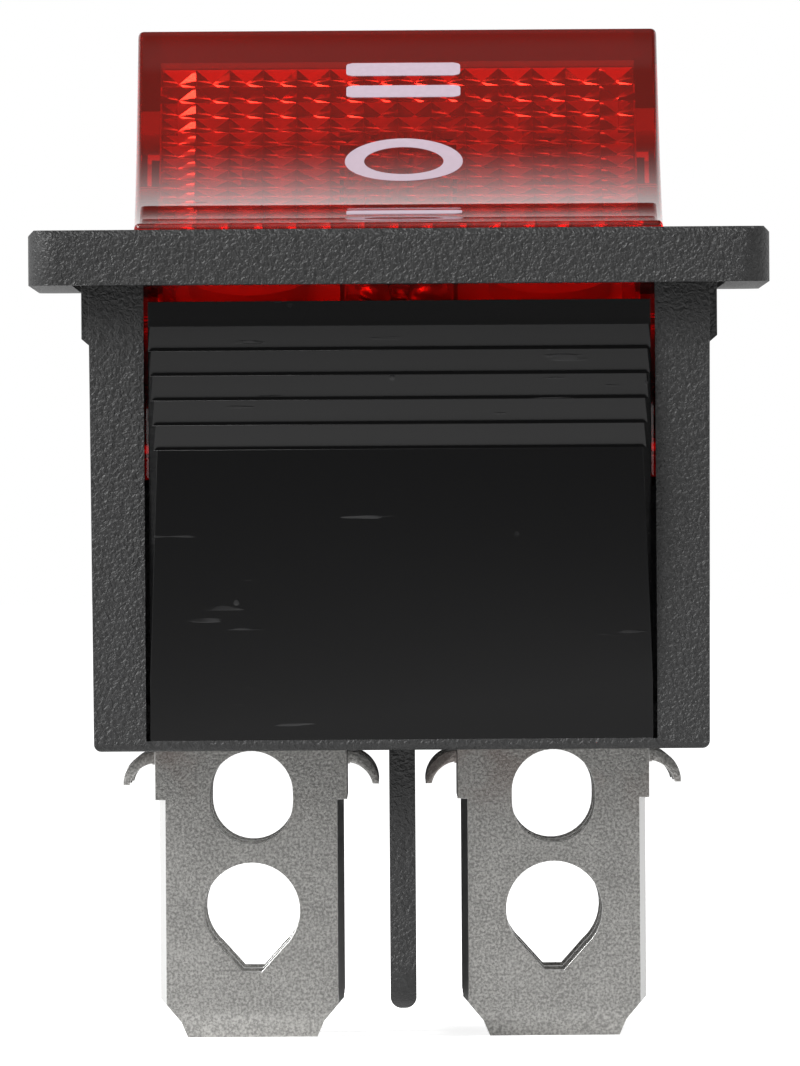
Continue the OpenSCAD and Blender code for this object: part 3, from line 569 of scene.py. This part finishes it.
# ---- Shape helpers ----


def placed(name, data):
    """A new object of that data, linked to the scene."""
    obj = bpy.data.objects.new(name, data)
    bpy.context.scene.collection.objects.link(obj)
    return obj


def mesh_object(name, bm, mat=None):
    """Makes a mesh object of bm, and frees bm."""
    mesh = bpy.data.meshes.new(name)
    bm.to_mesh(mesh)
    bm.free()
    if mat:
        mesh.materials.append(mat)
    return placed(name, mesh)


def piece(name, bm, mat, body, replaces=()):
    """Makes a mesh object of bm, in metres in the shared frame, that rides on a body."""
    return settle(mesh_object(name, bm, mat), body, replaces)


def settle(obj, body, replaces=()):
    """Says what a finished piece rides on and stands for."""
    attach(obj, body)
    if replaces:
        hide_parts(*replaces)
    return obj


def applied(obj):
    """Turns an object's modifiers into plain mesh."""
    bpy.context.view_layer.update()
    result = bpy.data.meshes.new_from_object(obj.evaluated_get(bpy.context.evaluated_depsgraph_get()))
    obj.modifiers.clear()
    obj.data = result
    return obj


def even_normals(obj, weight=100, keep_sharp=False):
    """Smooth shading that keeps large faces flat between their rounded edges."""
    for face in obj.data.polygons:
        face.use_smooth = True
    weighted = obj.modifiers.new("Even normals", "WEIGHTED_NORMAL")
    weighted.weight = weight
    weighted.keep_sharp = keep_sharp
    return applied(obj)


def node_mesh(node):
    """A CAD node as a joined mesh with its flat faces whole."""
    bm = bmesh.new()
    bm.from_mesh(frame["nodes"][node].data)
    bmesh.ops.remove_doubles(bm, verts=bm.verts, dist=1e-7)
    bmesh.ops.dissolve_limit(bm, angle_limit=math.radians(1.5), verts=bm.verts, edges=bm.edges)
    return bm


def rounded(node, radius_mm, mat, least=30.0, segments=2):
    """A copy of a CAD node whose sharp edges are rounded, in its place and on its body."""
    bm = node_mesh(node)
    sharp = [
        e for e in bm.edges
        if len(e.link_faces) == 2 and e.calc_face_angle() > math.radians(least)
    ]
    bmesh.ops.bevel(
        bm, geom=sharp, offset=radius_mm * MM, offset_type="OFFSET", segments=segments,
        profile=0.5, affect="EDGES", clamp_overlap=True,
    )
    obj = piece(f"{node}_finish", bm, mat, frame["nodes"][node]["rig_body"], [node])
    return even_normals(obj)


def smooth_copy(node, mat, limit=35.0):
    """A copy of a CAD node with smooth shading across its round faces."""
    bm = bmesh.new()
    bm.from_mesh(frame["nodes"][node].data)
    bmesh.ops.remove_doubles(bm, verts=bm.verts, dist=1e-7)
    for edge in bm.edges:
        edge.smooth = len(edge.link_faces) == 2 and edge.calc_face_angle() < math.radians(limit)
    for face in bm.faces:
        face.smooth = True
    return piece(f"{node}_finish", bm, mat, frame["nodes"][node]["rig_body"], [node])


# ---- Rocker ----


class Dish:
    """The rocker's own shape, about its pivot and level."""

    def __init__(self, size):
        self.size = size
        self.edge_height = size.middle_height + size.dip
        self.radius = (size.top_length**2 / 4 + size.dip**2) / (2 * size.dip)
        self.axis_height = size.middle_height + self.radius
        self.rise = self.edge_height + size.skirt

    def top(self, y):
        """Height of the dished top at y."""
        return self.axis_height - math.sqrt(self.radius**2 - min(abs(y), self.radius) ** 2)

    def half_length(self, z):
        """Half the outer length at height z."""
        share = (z + self.size.skirt) / self.rise
        return (self.size.foot_length + (self.size.top_length - self.size.foot_length) * share) / 2

    def half_width(self, z):
        """Half the outer width at height z."""
        share = (z + self.size.skirt) / self.rise
        return (self.size.foot_width + (self.size.top_width - self.size.foot_width) * share) / 2

    def below(self, x, along, depth):
        """A point at a depth below the dished top, with along measured on its arc."""
        reach = self.radius + depth
        turn = along / (self.radius + self.size.top_wall)
        return Vector((x, reach * math.sin(turn), self.axis_height - reach * math.cos(turn)))


def outer_block(dish, rows=44, columns=6):
    """The rocker's outside without its foot face, with its edges rounded."""
    size = dish.size
    bm = bmesh.new()
    bmesh.ops.create_cube(bm, size=2.0)
    for axis, cuts in ((1, rows), (0, columns)):
        edges = [
            e for e in bm.edges if abs(e.verts[0].co[axis] - e.verts[1].co[axis]) > 1.5
        ]
        bmesh.ops.subdivide_edges(bm, edges=edges, cuts=cuts - 1, use_grid_fill=True)
    bmesh.ops.delete(bm, geom=[f for f in bm.faces if f.normal.z < -0.9], context="FACES")
    for vert in bm.verts:
        u, v, w = vert.co
        y_top = v * size.top_length / 2
        z = -size.skirt + (dish.top(y_top) + size.skirt) * (w + 1) / 2
        vert.co = Vector((u * dish.half_width(z), v * dish.half_length(z), z))
    bmesh.ops.recalc_face_normals(bm, faces=bm.faces)
    sharp = [
        e for e in bm.edges
        if len(e.link_faces) == 2 and e.calc_face_angle() > math.radians(45)
    ]
    bmesh.ops.bevel(
        bm, geom=sharp, offset=size.edge, offset_type="OFFSET", segments=4, profile=0.5,
        affect="EDGES", clamp_overlap=True,
    )
    return bm


def prism_tree():
    """Geometry Nodes: a sheet of four-sided prisms, joined at their feet."""
    tree = bpy.data.node_groups.new("Prism sheet", "GeometryNodeTree")
    tree.interface.new_socket("Geometry", in_out="INPUT", socket_type="NodeSocketGeometry")
    for label, kind in (
        ("Columns", "NodeSocketInt"), ("Rows", "NodeSocketInt"),
        ("Pitch X", "NodeSocketFloat"), ("Pitch Y", "NodeSocketFloat"),
        ("Height", "NodeSocketFloat"), ("Material", "NodeSocketMaterial"),
    ):
        tree.interface.new_socket(label, in_out="INPUT", socket_type=kind)
    tree.interface.new_socket("Geometry", in_out="OUTPUT", socket_type="NodeSocketGeometry")
    t = Tree(tree)
    given, out = t.add("NodeGroupInput"), t.add("NodeGroupOutput")
    ins = given.outputs
    cell = t.add(
        "GeometryNodeMeshCone",
        {"Vertices": 4, "Radius Top": 0.0, "Radius Bottom": math.sqrt(0.5), "Depth": 1.0},
        fill_type="NONE",
    )
    turned = t.add(
        "GeometryNodeTransform", {"Geometry": cell.outputs["Mesh"], "Rotation": (0, 0, math.pi / 4)}
    )
    spans = []
    for count, pitch in (("Columns", "Pitch X"), ("Rows", "Pitch Y")):
        less = t.math("SUBTRACT", ins[count], 1.0)
        spans.append(t.math("MULTIPLY", less, ins[pitch]))
    grid = t.add(
        "GeometryNodeMeshGrid",
        {"Size X": spans[0], "Size Y": spans[1], "Vertices X": ins["Columns"], "Vertices Y": ins["Rows"]},
    )
    stretch = t.add(
        "ShaderNodeCombineXYZ", {"X": ins["Pitch X"], "Y": ins["Pitch Y"], "Z": ins["Height"]}
    )
    placed = t.add(
        "GeometryNodeInstanceOnPoints",
        {"Points": grid.outputs["Mesh"], "Instance": turned, "Scale": stretch},
    )
    real = t.add("GeometryNodeRealizeInstances", {"Geometry": placed})
    joined = t.add("GeometryNodeMergeByDistance", {"Geometry": real, "Distance": 0.00001})
    done = t.add(
        "GeometryNodeSetMaterial", {"Geometry": joined, "Material": ins["Material"]}
    )
    t.feed(out.inputs["Geometry"], done)
    return tree


def run_tree(name, tree, inputs):
    """Runs a Geometry Nodes tree on an empty mesh and returns its plain mesh object."""
    obj = placed(name, bpy.data.meshes.new(name))
    modifier = obj.modifiers.new(name, "NODES")
    modifier.node_group = tree
    for item in tree.interface.items_tree:
        if item.in_out == "INPUT" and item.name in inputs:
            modifier[item.identifier] = inputs[item.name]
    return applied(obj)


def hollow(dish, mat):
    """The rocker's inside: the prism sheet bent to the dish, a rim round it, and the walls."""
    size = dish.size
    columns = int(size.inner_width / size.prism_x)
    rows = int((size.top_length - 2 * size.end_wall) / size.prism_y)
    sheet = run_tree(
        "prism_sheet", prism_tree(),
        {"Columns": columns, "Rows": rows, "Pitch X": size.prism_x, "Pitch Y": size.prism_y,
         "Height": size.prism_height, "Material": mat},
    )
    bm = bmesh.new()
    bm.from_mesh(sheet.data)
    bpy.data.objects.remove(sheet)
    bmesh.ops.remove_doubles(bm, verts=bm.verts, dist=2e-5)
    for vert in bm.verts:
        vert.co = dish.below(vert.co.x, vert.co.y, size.top_wall + vert.co.z)
    # the rim: each vertex on the sheet's border goes out to the wall
    reach_x = columns / 2 * size.prism_x
    wall_x = size.inner_width / 2
    edge = [e for e in bm.edges if e.is_boundary]
    border = {v for e in edge for v in e.verts}
    last_y = max(v.co.y for v in border)
    wall, foot = {}, {}
    for vert in border:
        x, y, z = vert.co
        inner_half = dish.half_length(z) - size.end_wall
        if abs(abs(x) - reach_x) < 1e-5:
            x = math.copysign(wall_x, x)
        if abs(abs(y) - last_y) < 1e-5:
            y = math.copysign(inner_half, y)
        wall[vert] = bm.verts.new((x, y, z))
        share = (dish.half_length(-size.skirt) - size.end_wall) / inner_half
        foot[vert] = bm.verts.new((x, y * share, -size.skirt))
    for e in edge:
        a, b = e.verts
        bm.faces.new((a, b, wall[b], wall[a]))
        bm.faces.new((wall[a], wall[b], foot[b], foot[a]))
    return bm


def notch_cutter(size):
    """A keyhole through both side walls that the pivot pins drop into."""
    bm = bmesh.new()
    r, deep, reach = size.notch, size.skirt + MM, size.foot_width
    outline = [(r, -deep), (-r, -deep)] + [
        (-r * math.cos(math.pi * k / 24), r * math.sin(math.pi * k / 24)) for k in range(25)
    ]
    face = bm.faces.new([bm.verts.new((-reach, y, z)) for y, z in outline])
    grown = bmesh.ops.extrude_face_region(bm, geom=[face])["geom"]
    for vert in (g for g in grown if isinstance(g, bmesh.types.BMVert)):
        vert.co.x = reach
    bmesh.ops.recalc_face_normals(bm, faces=bm.faces)
    return bm


def prism_bar(bm, outline, y_low, y_high):
    """Adds a bar to bm: an outline in X and Z, drawn out along Y."""
    low = [bm.verts.new((x, y_low, z)) for x, z in outline]
    high = [bm.verts.new((x, y_high, z)) for x, z in outline]
    count = len(outline)
    bm.faces.new(low)
    bm.faces.new(high[::-1])
    for k in range(count):
        bm.faces.new((low[k], high[k], high[(k + 1) % count], low[(k + 1) % count]))


def lug_block(dish):
    """The wedges under the carrier's plate and the ribs above it, at both side walls."""
    size = dish.size
    bm = bmesh.new()
    wall, place = size.inner_width / 2, 6.993 * MM
    into, top, catch = 0.2 * MM, 0.25 * MM, 0.35 * MM
    for side in (-1, 1):
        for y in (-place, place):
            wedge = [(side * (wall - catch), top), (side * (wall + into), top),
                     (side * (wall + into), top - 4 * catch), (side * wall, top - 3 * catch)]
            prism_bar(bm, wedge, y - MM, y + MM)
            rib = [(side * (wall - 0.6 * MM), 1.65 * MM), (side * (wall + into), 1.65 * MM),
                   (side * (wall + into), dish.top(y) - size.top_wall + into),
                   (side * (wall - 0.6 * MM), dish.top(y) - size.top_wall + into)]
            prism_bar(bm, rib, y - 0.3 * MM, y + 0.3 * MM)
    bmesh.ops.recalc_face_normals(bm, faces=bm.faces)
    return bm


def combine(obj, bm, operation):
    """Cuts bm from an object's mesh or joins bm to it."""
    tool = mesh_object("tool", bm)
    modifier = obj.modifiers.new("Combine", "BOOLEAN")
    modifier.operation = operation
    modifier.solver = "EXACT"
    modifier.object = tool
    applied(obj)
    bpy.data.objects.remove(tool)


class SWITCH_OT_rocker(bpy.types.Operator):
    """Build the clear rocker with its dished top, prisms, notches and lugs"""

    bl_idname = "switch.rocker"
    bl_label = "Clear rocker"

    def execute(self, context):
        dish = Dish(settings("switch_rocker"))
        mat = cap_material(settings("switch_finish"))
        bm = outer_block(dish)
        inside = hollow(dish, mat)
        spare = bpy.data.meshes.new("inside")
        inside.to_mesh(spare)
        inside.free()
        bm.from_mesh(spare)
        bpy.data.meshes.remove(spare)
        rims = [e for e in bm.edges if e.is_boundary]
        bmesh.ops.triangle_fill(bm, edges=rims, use_beauty=True)
        bmesh.ops.remove_doubles(bm, verts=bm.verts, dist=1e-7)
        bmesh.ops.recalc_face_normals(bm, faces=bm.faces)
        if any(not e.is_manifold for e in bm.edges):
            raise RuntimeError("the rocker's shell isn't closed")
        obj = piece("clear_rocker", bm, mat, "rocker", ["rocker_cap"])
        combine(obj, notch_cutter(dish.size), "DIFFERENCE")
        combine(obj, lug_block(dish), "UNION")
        obj.data.transform(ON_ROCKER)
        obj.data.materials.clear()
        obj.data.materials.append(mat)
        obj.data.set_sharp_from_angle(angle=math.radians(28))
        for face in obj.data.polygons:
            face.material_index = 0
        even_normals(obj, weight=80, keep_sharp=True)
        return {"FINISHED"}


# ---- Marks ----


def conform(dish, x, along, lift):
    """A point on the dished top, lifted from it and placed in the shared frame."""
    slope = math.asin(along / dish.radius)
    up = Vector((0.0, -math.sin(slope), math.cos(slope)))
    return ON_ROCKER @ (Vector((x, along, dish.top(along))) + up * lift)


def mark_band(bm, dish, inner, outer, sizes):
    """Adds a closed band between two loops of (x, along) points, a little above and below the top."""
    count = len(inner)
    loops = []
    for lift in (sizes.proud, -sizes.sunk):
        for loop in (inner, outer):
            loops.append([bm.verts.new(conform(dish, x, y, lift)) for x, y in loop])
    for a, b in ((0, 1), (1, 3), (3, 2), (2, 0)):
        for k in range(count):
            n = (k + 1) % count
            bm.faces.new((loops[a][k], loops[b][k], loops[b][n], loops[a][n]))


def mark_plate(bm, dish, rows, sizes):
    """Adds a closed plate given as rows of (left, right, along), a little above and below the top."""
    layers = []
    for lift in (sizes.proud, -sizes.sunk):
        layers.append([
            [bm.verts.new(conform(dish, x, y, lift)) for x in (left, right)]
            for left, right, y in rows
        ])
    top, low = layers
    for k in range(len(rows) - 1):
        bm.faces.new((top[k][0], top[k][1], top[k + 1][1], top[k + 1][0]))
        bm.faces.new((low[k][1], low[k][0], low[k + 1][0], low[k + 1][1]))
        for side in (0, 1):
            bm.faces.new((top[k][side], top[k + 1][side], low[k + 1][side], low[k][side]))
    for k in (0, -1):
        bm.faces.new((top[k][0], top[k][1], low[k][1], low[k][0]))


def bar_rows(place, width, span, shift, steps=12):
    """Rows across a bar with rounded corners, from its near edge to its far edge."""
    rows = []
    corner = width * 0.24
    for k in range(steps + 1):
        y = (k / steps - 0.5) * width
        over = max(abs(y) - (width / 2 - corner), 0.0)
        half = span / 2 - corner + math.sqrt(max(corner**2 - over**2, 0.0))
        rows.append((shift - half, shift + half, place + y))
    return rows


class SWITCH_OT_marks(bpy.types.Operator):
    """Lay the bars and the ring on the rocker's top"""

    bl_idname = "switch.marks"
    bl_label = "Marks"

    def execute(self, context):
        sizes = settings("switch_marks")
        dish = Dish(settings("switch_rocker"))
        mat = mark_material(settings("switch_finish"))
        bars = (
            ("mark_bar_far", sizes.far_bar, sizes.bar_width),
            ("mark_bar_near", sizes.near_bar, sizes.bar_width),
            ("mark_bar_single", -sizes.lone_bar, sizes.lone_width),
        )
        for name, place, width in bars:
            bm = bmesh.new()
            mark_plate(bm, dish, bar_rows(place, width, sizes.bar_length, sizes.shift), sizes)
            bmesh.ops.recalc_face_normals(bm, faces=bm.faces)
            piece(name, bm, mat, "rocker")
        half_x, half_y = sizes.ring_width / 2, sizes.ring_length / 2
        middle = -0.185 * MM
        turns = [2 * math.pi * k / 96 for k in range(96)]
        outer = [(sizes.shift + half_x * math.cos(a), middle + half_y * math.sin(a)) for a in turns]
        half_x, half_y = half_x - sizes.ring_side, half_y - sizes.ring_end
        inner = [(sizes.shift + half_x * math.cos(a), middle + half_y * math.sin(a)) for a in turns]
        bm = bmesh.new()
        mark_band(bm, dish, inner, outer, sizes)
        bmesh.ops.recalc_face_normals(bm, faces=bm.faces)
        piece("mark_ring", bm, mat, "rocker")
        return {"FINISHED"}


# ---- Housing and terminals ----


class SWITCH_OT_housing(bpy.types.Operator):
    """Round the housing's edges and give it its grained and smooth faces"""

    bl_idname = "switch.housing"
    bl_label = "Housing"

    def execute(self, context):
        rounded("housing", 0.07, housing_material(settings("switch_finish")))
        return {"FINISHED"}


class SWITCH_OT_terminals(bpy.types.Operator):
    """Round the punched edges of the six terminals and tin them"""

    bl_idname = "switch.terminals"
    bl_label = "Terminals"

    def execute(self, context):
        mat = tin_material(settings("switch_finish"))
        for node in TABS:
            rounded(node, 0.2, mat, segments=4)
        return {"FINISHED"}


# ---- Mechanism ----


def spring_tree():
    """Geometry Nodes: a coil with a close turn at each end, of round wire."""
    tree = bpy.data.node_groups.new("Coil", "GeometryNodeTree")
    tree.interface.new_socket("Geometry", in_out="INPUT", socket_type="NodeSocketGeometry")
    for label, kind in (
        ("Turns", "NodeSocketFloat"), ("Radius", "NodeSocketFloat"), ("Wire", "NodeSocketFloat"),
        ("Low", "NodeSocketFloat"), ("Close", "NodeSocketFloat"), ("Pitch", "NodeSocketFloat"),
        ("Material", "NodeSocketMaterial"),
    ):
        tree.interface.new_socket(label, in_out="INPUT", socket_type=kind)
    tree.interface.new_socket("Geometry", in_out="OUTPUT", socket_type="NodeSocketGeometry")
    t = Tree(tree)
    given, out = t.add("NodeGroupInput"), t.add("NodeGroupOutput")
    ins = given.outputs
    line = t.add("GeometryNodeCurvePrimitiveLine", {"Start": (0, 0, 0), "End": (0, 0, 1)})
    many = t.add("GeometryNodeResampleCurve", {"Curve": line, "Count": 241}, mode="COUNT")
    share = t.add("GeometryNodeSplineParameter").outputs["Factor"]
    turn = t.math("MULTIPLY", share, ins["Turns"])
    angle = t.math("MULTIPLY", turn, 2 * math.pi)
    first = t.math("MULTIPLY", t.math("MINIMUM", turn, 1.0), ins["Close"])
    free_turns = t.math("SUBTRACT", ins["Turns"], 2.0)
    free = t.math("MINIMUM", t.math("MAXIMUM", t.math("SUBTRACT", turn, 1.0), 0.0), free_turns)
    last = t.math("MAXIMUM", t.math("SUBTRACT", turn, t.math("ADD", free_turns, 1.0)), 0.0)
    climb = t.math("ADD", first, t.math("MULTIPLY", free, ins["Pitch"]))
    climb = t.math("ADD", climb, t.math("MULTIPLY", last, ins["Close"]))
    place = t.add(
        "ShaderNodeCombineXYZ",
        {"X": t.math("MULTIPLY", t.math("COSINE", angle), ins["Radius"]),
         "Y": t.math("MULTIPLY", t.math("SINE", angle), ins["Radius"]),
         "Z": t.math("ADD", climb, ins["Low"])},
    )
    coil = t.add("GeometryNodeSetPosition", {"Geometry": many, "Position": place})
    ring = t.add("GeometryNodeCurvePrimitiveCircle", {"Resolution": 12, "Radius": ins["Wire"]})
    wire = t.add(
        "GeometryNodeCurveToMesh", {"Curve": coil, "Profile Curve": ring, "Fill Caps": True}
    )
    real = t.add("GeometryNodeRealizeInstances", {"Geometry": wire})
    done = t.add("GeometryNodeSetMaterial", {"Geometry": real, "Material": ins["Material"]})
    t.feed(out.inputs["Geometry"], done)
    return tree


class SWITCH_OT_springs(bpy.types.Operator):
    """Wind the two plunger springs"""

    bl_idname = "switch.springs"
    bl_label = "Springs"

    def execute(self, context):
        size = settings("switch_spring")
        tree = spring_tree()
        mat = metal_material("Spring steel", settings("switch_finish").steel, 0.25, 9000.0, 0.004)
        close = 2 * size.wire + 0.03 * MM
        pitch = (size.high - size.low - 2 * close) / (size.turns - 2)
        for side, sign in zip(SIDES, (-1, 1)):
            node = f"spring_{side}"
            low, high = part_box(node)
            obj = run_tree(
                f"{node}_finish", tree,
                {"Turns": float(size.turns), "Radius": size.radius, "Wire": size.wire, "Low": size.low,
                 "Close": close, "Pitch": pitch, "Material": mat},
            )
            obj.data.transform(Matrix.Translation(((low.x + high.x) / 2, 0, 0)))
            obj.data.transform(ON_ROCKER)
            for face in obj.data.polygons:
                face.use_smooth = len(face.vertices) == 4
            settle(obj, frame["nodes"][node]["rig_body"], [node])
        return {"FINISHED"}


class SWITCH_OT_mechanism(bpy.types.Operator):
    """Finish the carrier, plungers, contact levers and contact rivets"""

    bl_idname = "switch.mechanism"
    bl_label = "Mechanism"

    def execute(self, context):
        finish = settings("switch_finish")
        cream = carrier_material(finish)
        brass = metal_material("Brass", finish.brass, 0.3, 7000.0, 0.006)
        silver = metal_material("Contact silver", finish.silver, 0.22, 8000.0, 0.004)
        rounded("rocker_carrier", 0.06, cream)
        for side in SIDES:
            smooth_copy(f"plunger_{side}", brass)
            rounded(f"lever_{side}", 0.06, brass)
            for end in ENDS:
                smooth_copy(f"moving_contact_{side}_{end}", silver)
                smooth_copy(f"fixed_contact_{side}_{end}", silver)
        return {"FINISHED"}


class SWITCH_OT_lamp(bpy.types.Operator):
    """Finish the lamp with its electrodes, its resistor and its leads"""

    bl_idname = "switch.lamp"
    bl_label = "Lamp"

    def execute(self, context):
        finish = settings("switch_finish")
        smooth_copy("neon_lamp", glass_material(), limit=50)
        smooth_copy("lamp_resistor", resistor_material(finish), limit=50)
        lead = metal_material("Lead wire", finish.tin, 0.3, 9000.0, 0.004)
        for side in SIDES:
            smooth_copy(f"lamp_lead_{side}", lead, limit=60)
        bm = bmesh.new()
        for x in (-0.6, 0.6):
            self.rod(bm, Vector((x, -3.4, 2.3)) * MM, 6.6 * MM, 0.38 * MM)
        piece("lamp_electrodes", bm, lead, "rocker")
        return {"FINISHED"}

    @staticmethod
    def rod(bm, start, span, radius, sides=20):
        """Adds a rod along the lamp with domed ends."""
        profile = [(0.0, 0.0)]
        profile += [
            (radius * math.sin(math.pi * k / 12), radius * (1 - math.cos(math.pi * k / 12)))
            for k in range(1, 7)
        ]
        profile += [(r, span - y) for r, y in reversed(profile[1:])]
        rings = []
        for r, y in profile[1:]:
            rings.append([
                bm.verts.new(ON_ROCKER @ (start + Vector((
                    r * math.cos(2 * math.pi * k / sides), y, r * math.sin(2 * math.pi * k / sides)
                ))))
                for k in range(sides)
            ])
        faces = []
        for a, b in zip(rings, rings[1:]):
            for k in range(sides):
                n = (k + 1) % sides
                faces.append(bm.faces.new((a[k], a[n], b[n], b[k])))
        for ring, y in ((rings[0], 0.0), (rings[-1], span)):
            tip = bm.verts.new(ON_ROCKER @ (start + Vector((0, y, 0))))
            for k in range(sides):
                faces.append(bm.faces.new((ring[k], ring[(k + 1) % sides], tip)))
        for face in faces:
            face.smooth = True
        bmesh.ops.recalc_face_normals(bm, faces=faces)


# ---- Stage ----


def white_world(stage):
    """White for the camera, an even fill for matt faces and a lit studio for clear and shiny ones."""
    world = bpy.data.worlds.new("Studio")
    world.use_nodes = True
    world.node_tree.nodes.clear()
    t = Tree(world.node_tree)
    way = t.add("ShaderNodeTexCoord").outputs["Generated"]
    split = t.add("ShaderNodeSeparateXYZ", {"Vector": way})
    x, y, z = (split.outputs[axis] for axis in "XYZ")

    def toward(direction):
        unit = tuple(Vector(direction).normalized())
        return t.add("ShaderNodeVectorMath", {0: way, 1: unit}, operation="DOT_PRODUCT").outputs["Value"]

    # a white wall behind, up to a third of the way to the top
    wall = t.math("MULTIPLY", t.spread(y, -0.1, 0.35), t.spread(z, 0.68, 0.34))
    # a wide soft box at the upper left
    box = t.spread(toward((-0.66, -0.42, 0.6)), 0.5, 0.8)
    right = t.math("MULTIPLY", t.spread(toward((0.95, -0.2, 0.1)), 0.55, 0.9), stage.right)
    # a grey front that darkens below the level
    front = t.math("MULTIPLY", t.spread(y, -0.3, -0.8), t.spread(z, -0.2, 0.35, 0.0, stage.front))
    # the ceiling's edge, high behind
    edge = t.math("MULTIPLY", t.spread(z, 0.82, 0.85), t.spread(z, 0.9, 0.87))
    edge = t.math("MULTIPLY", edge, t.math("MULTIPLY", t.spread(y, 0.0, 0.2), t.spread(x, 0.3, 0.1)))
    lit = t.math("MAXIMUM", t.math("MAXIMUM", wall, box), t.math("MAXIMUM", right, front))
    lit = t.math("MAXIMUM", lit, t.math("MULTIPLY", edge, 0.12))
    studio = t.math("MAXIMUM", lit, stage.room)
    path = t.add("ShaderNodeLightPath").outputs
    shiny = t.math("MAXIMUM", path["Is Glossy Ray"], path["Is Transmission Ray"])
    shiny = t.math("MULTIPLY", shiny, t.math("SUBTRACT", 1.0, path["Is Camera Ray"]))
    plain = t.math("ADD", t.math("MULTIPLY", path["Is Camera Ray"], 1.0 - stage.fill), stage.fill)
    strength = t.math(
        "ADD", t.math("MULTIPLY", shiny, studio),
        t.math("MULTIPLY", t.math("SUBTRACT", 1.0, shiny), plain),
    )
    background = t.add("ShaderNodeBackground", {"Color": (1, 1, 1, 1), "Strength": strength})
    out = t.add("ShaderNodeOutputWorld")
    world.node_tree.links.new(background.outputs[0], out.inputs["Surface"])
    world.cycles.sampling_method = "NONE"
    bpy.context.scene.world = world


def soft_lamp(name, place, aim, width, power):
    """A square area lamp that faces its aim."""
    data = bpy.data.lights.new(name, "AREA")
    data.shape = "SQUARE"
    data.size = width
    data.energy = power
    lamp = placed(name, data)
    lamp.location = place
    lamp.rotation_euler = (Vector(aim) - Vector(place)).to_track_quat("-Z", "Y").to_euler()


class SWITCH_OT_stage(bpy.types.Operator):
    """Set the floor, surroundings, lamps and camera"""

    bl_idname = "switch.stage"
    bl_label = "Stage"

    def execute(self, context):
        stage = settings("switch_stage")
        low, high = (Vector(corner) for corner in CAD_BOX)
        white_world(stage)
        mat, t, body, at = material("Paper", {"Roughness": 0.9, "Specular IOR Level": 0.0})
        fibre = t.noise(at, 60.0, 3.0)
        t.feed(body.inputs["Base Color"], t.blend(fibre, (0.86, 0.86, 0.86), (0.88, 0.88, 0.88)))
        seen = t.add("ShaderNodeLightPath").outputs["Is Camera Ray"]
        body.inputs["Emission Color"].default_value = (1, 1, 1, 1)
        t.feed(body.inputs["Emission Strength"], t.math("MULTIPLY", seen, 0.8))
        bm = bmesh.new()
        bmesh.ops.create_grid(bm, x_segments=8, y_segments=8, size=stage.floor)
        floor = mesh_object("floor", bm, mat)
        # it begins just before the switch, so that the low front stays dark in reflections
        floor.data.transform(Matrix.Translation((0, stage.floor - stage.floor_front, low.z)))
        soft_lamp("key", (-0.5, -0.35, 0.5), (0, 0, -0.01), 0.5, stage.key)
        soft_lamp("side", (0.7, -0.1, 0.3), (0, 0, -0.01), 0.3, stage.side)
        camera = bpy.data.cameras.new("camera")
        camera.lens = stage.lens
        camera.sensor_fit = "AUTO"
        camera.sensor_width = 36.0
        camera.clip_start = 0.01
        camera.clip_end = 50.0
        eye = placed("camera", camera)
        eye.matrix_world = (
            Matrix.Translation((-0.00002, low.y - stage.distance, -stage.height))
            @ Matrix.Rotation(math.pi / 2, 4, "X")
            @ Matrix.Rotation(-stage.roll, 4, "Z")
        )
        context.scene.camera = eye
        context.scene.view_settings.view_transform = "Standard"
        return {"FINISHED"}


# ---- Panel and registration ----

OPERATORS = (
    SWITCH_OT_rocker, SWITCH_OT_marks, SWITCH_OT_housing, SWITCH_OT_terminals,
    SWITCH_OT_springs, SWITCH_OT_mechanism, SWITCH_OT_lamp, SWITCH_OT_stage,
)


class SWITCH_PT_panel(bpy.types.Panel):
    """Sizes, finishes and build steps of the switch"""

    bl_idname = "SWITCH_PT_panel"
    bl_label = "Rocker switch"
    bl_space_type = "VIEW_3D"
    bl_region_type = "UI"
    bl_category = "Rocker switch"

    def draw(self, context):
        for name, group in GROUPS.items():
            box = self.layout.box()
            box.label(text=group.__doc__)
            for label in group.__annotations__:
                box.prop(getattr(context.scene, name), label)
        for operator in OPERATORS:
            self.layout.operator(operator.bl_idname)


CLASSES = (*GROUPS.values(), *OPERATORS, SWITCH_PT_panel)


def register():
    for cls in CLASSES:
        bpy.utils.register_class(cls)
    for name, group in GROUPS.items():
        setattr(bpy.types.Scene, name, bpy.props.PointerProperty(type=group))


def unregister():
    for name in GROUPS:
        delattr(bpy.types.Scene, name)
    for cls in reversed(CLASSES):
        bpy.utils.unregister_class(cls)


def main():
    register()
    for operator in OPERATORS:
        getattr(bpy.ops.switch, operator.bl_idname.split(".")[1])()
    bpy.context.view_layer.update()


if __name__ == "__main__":
    main()
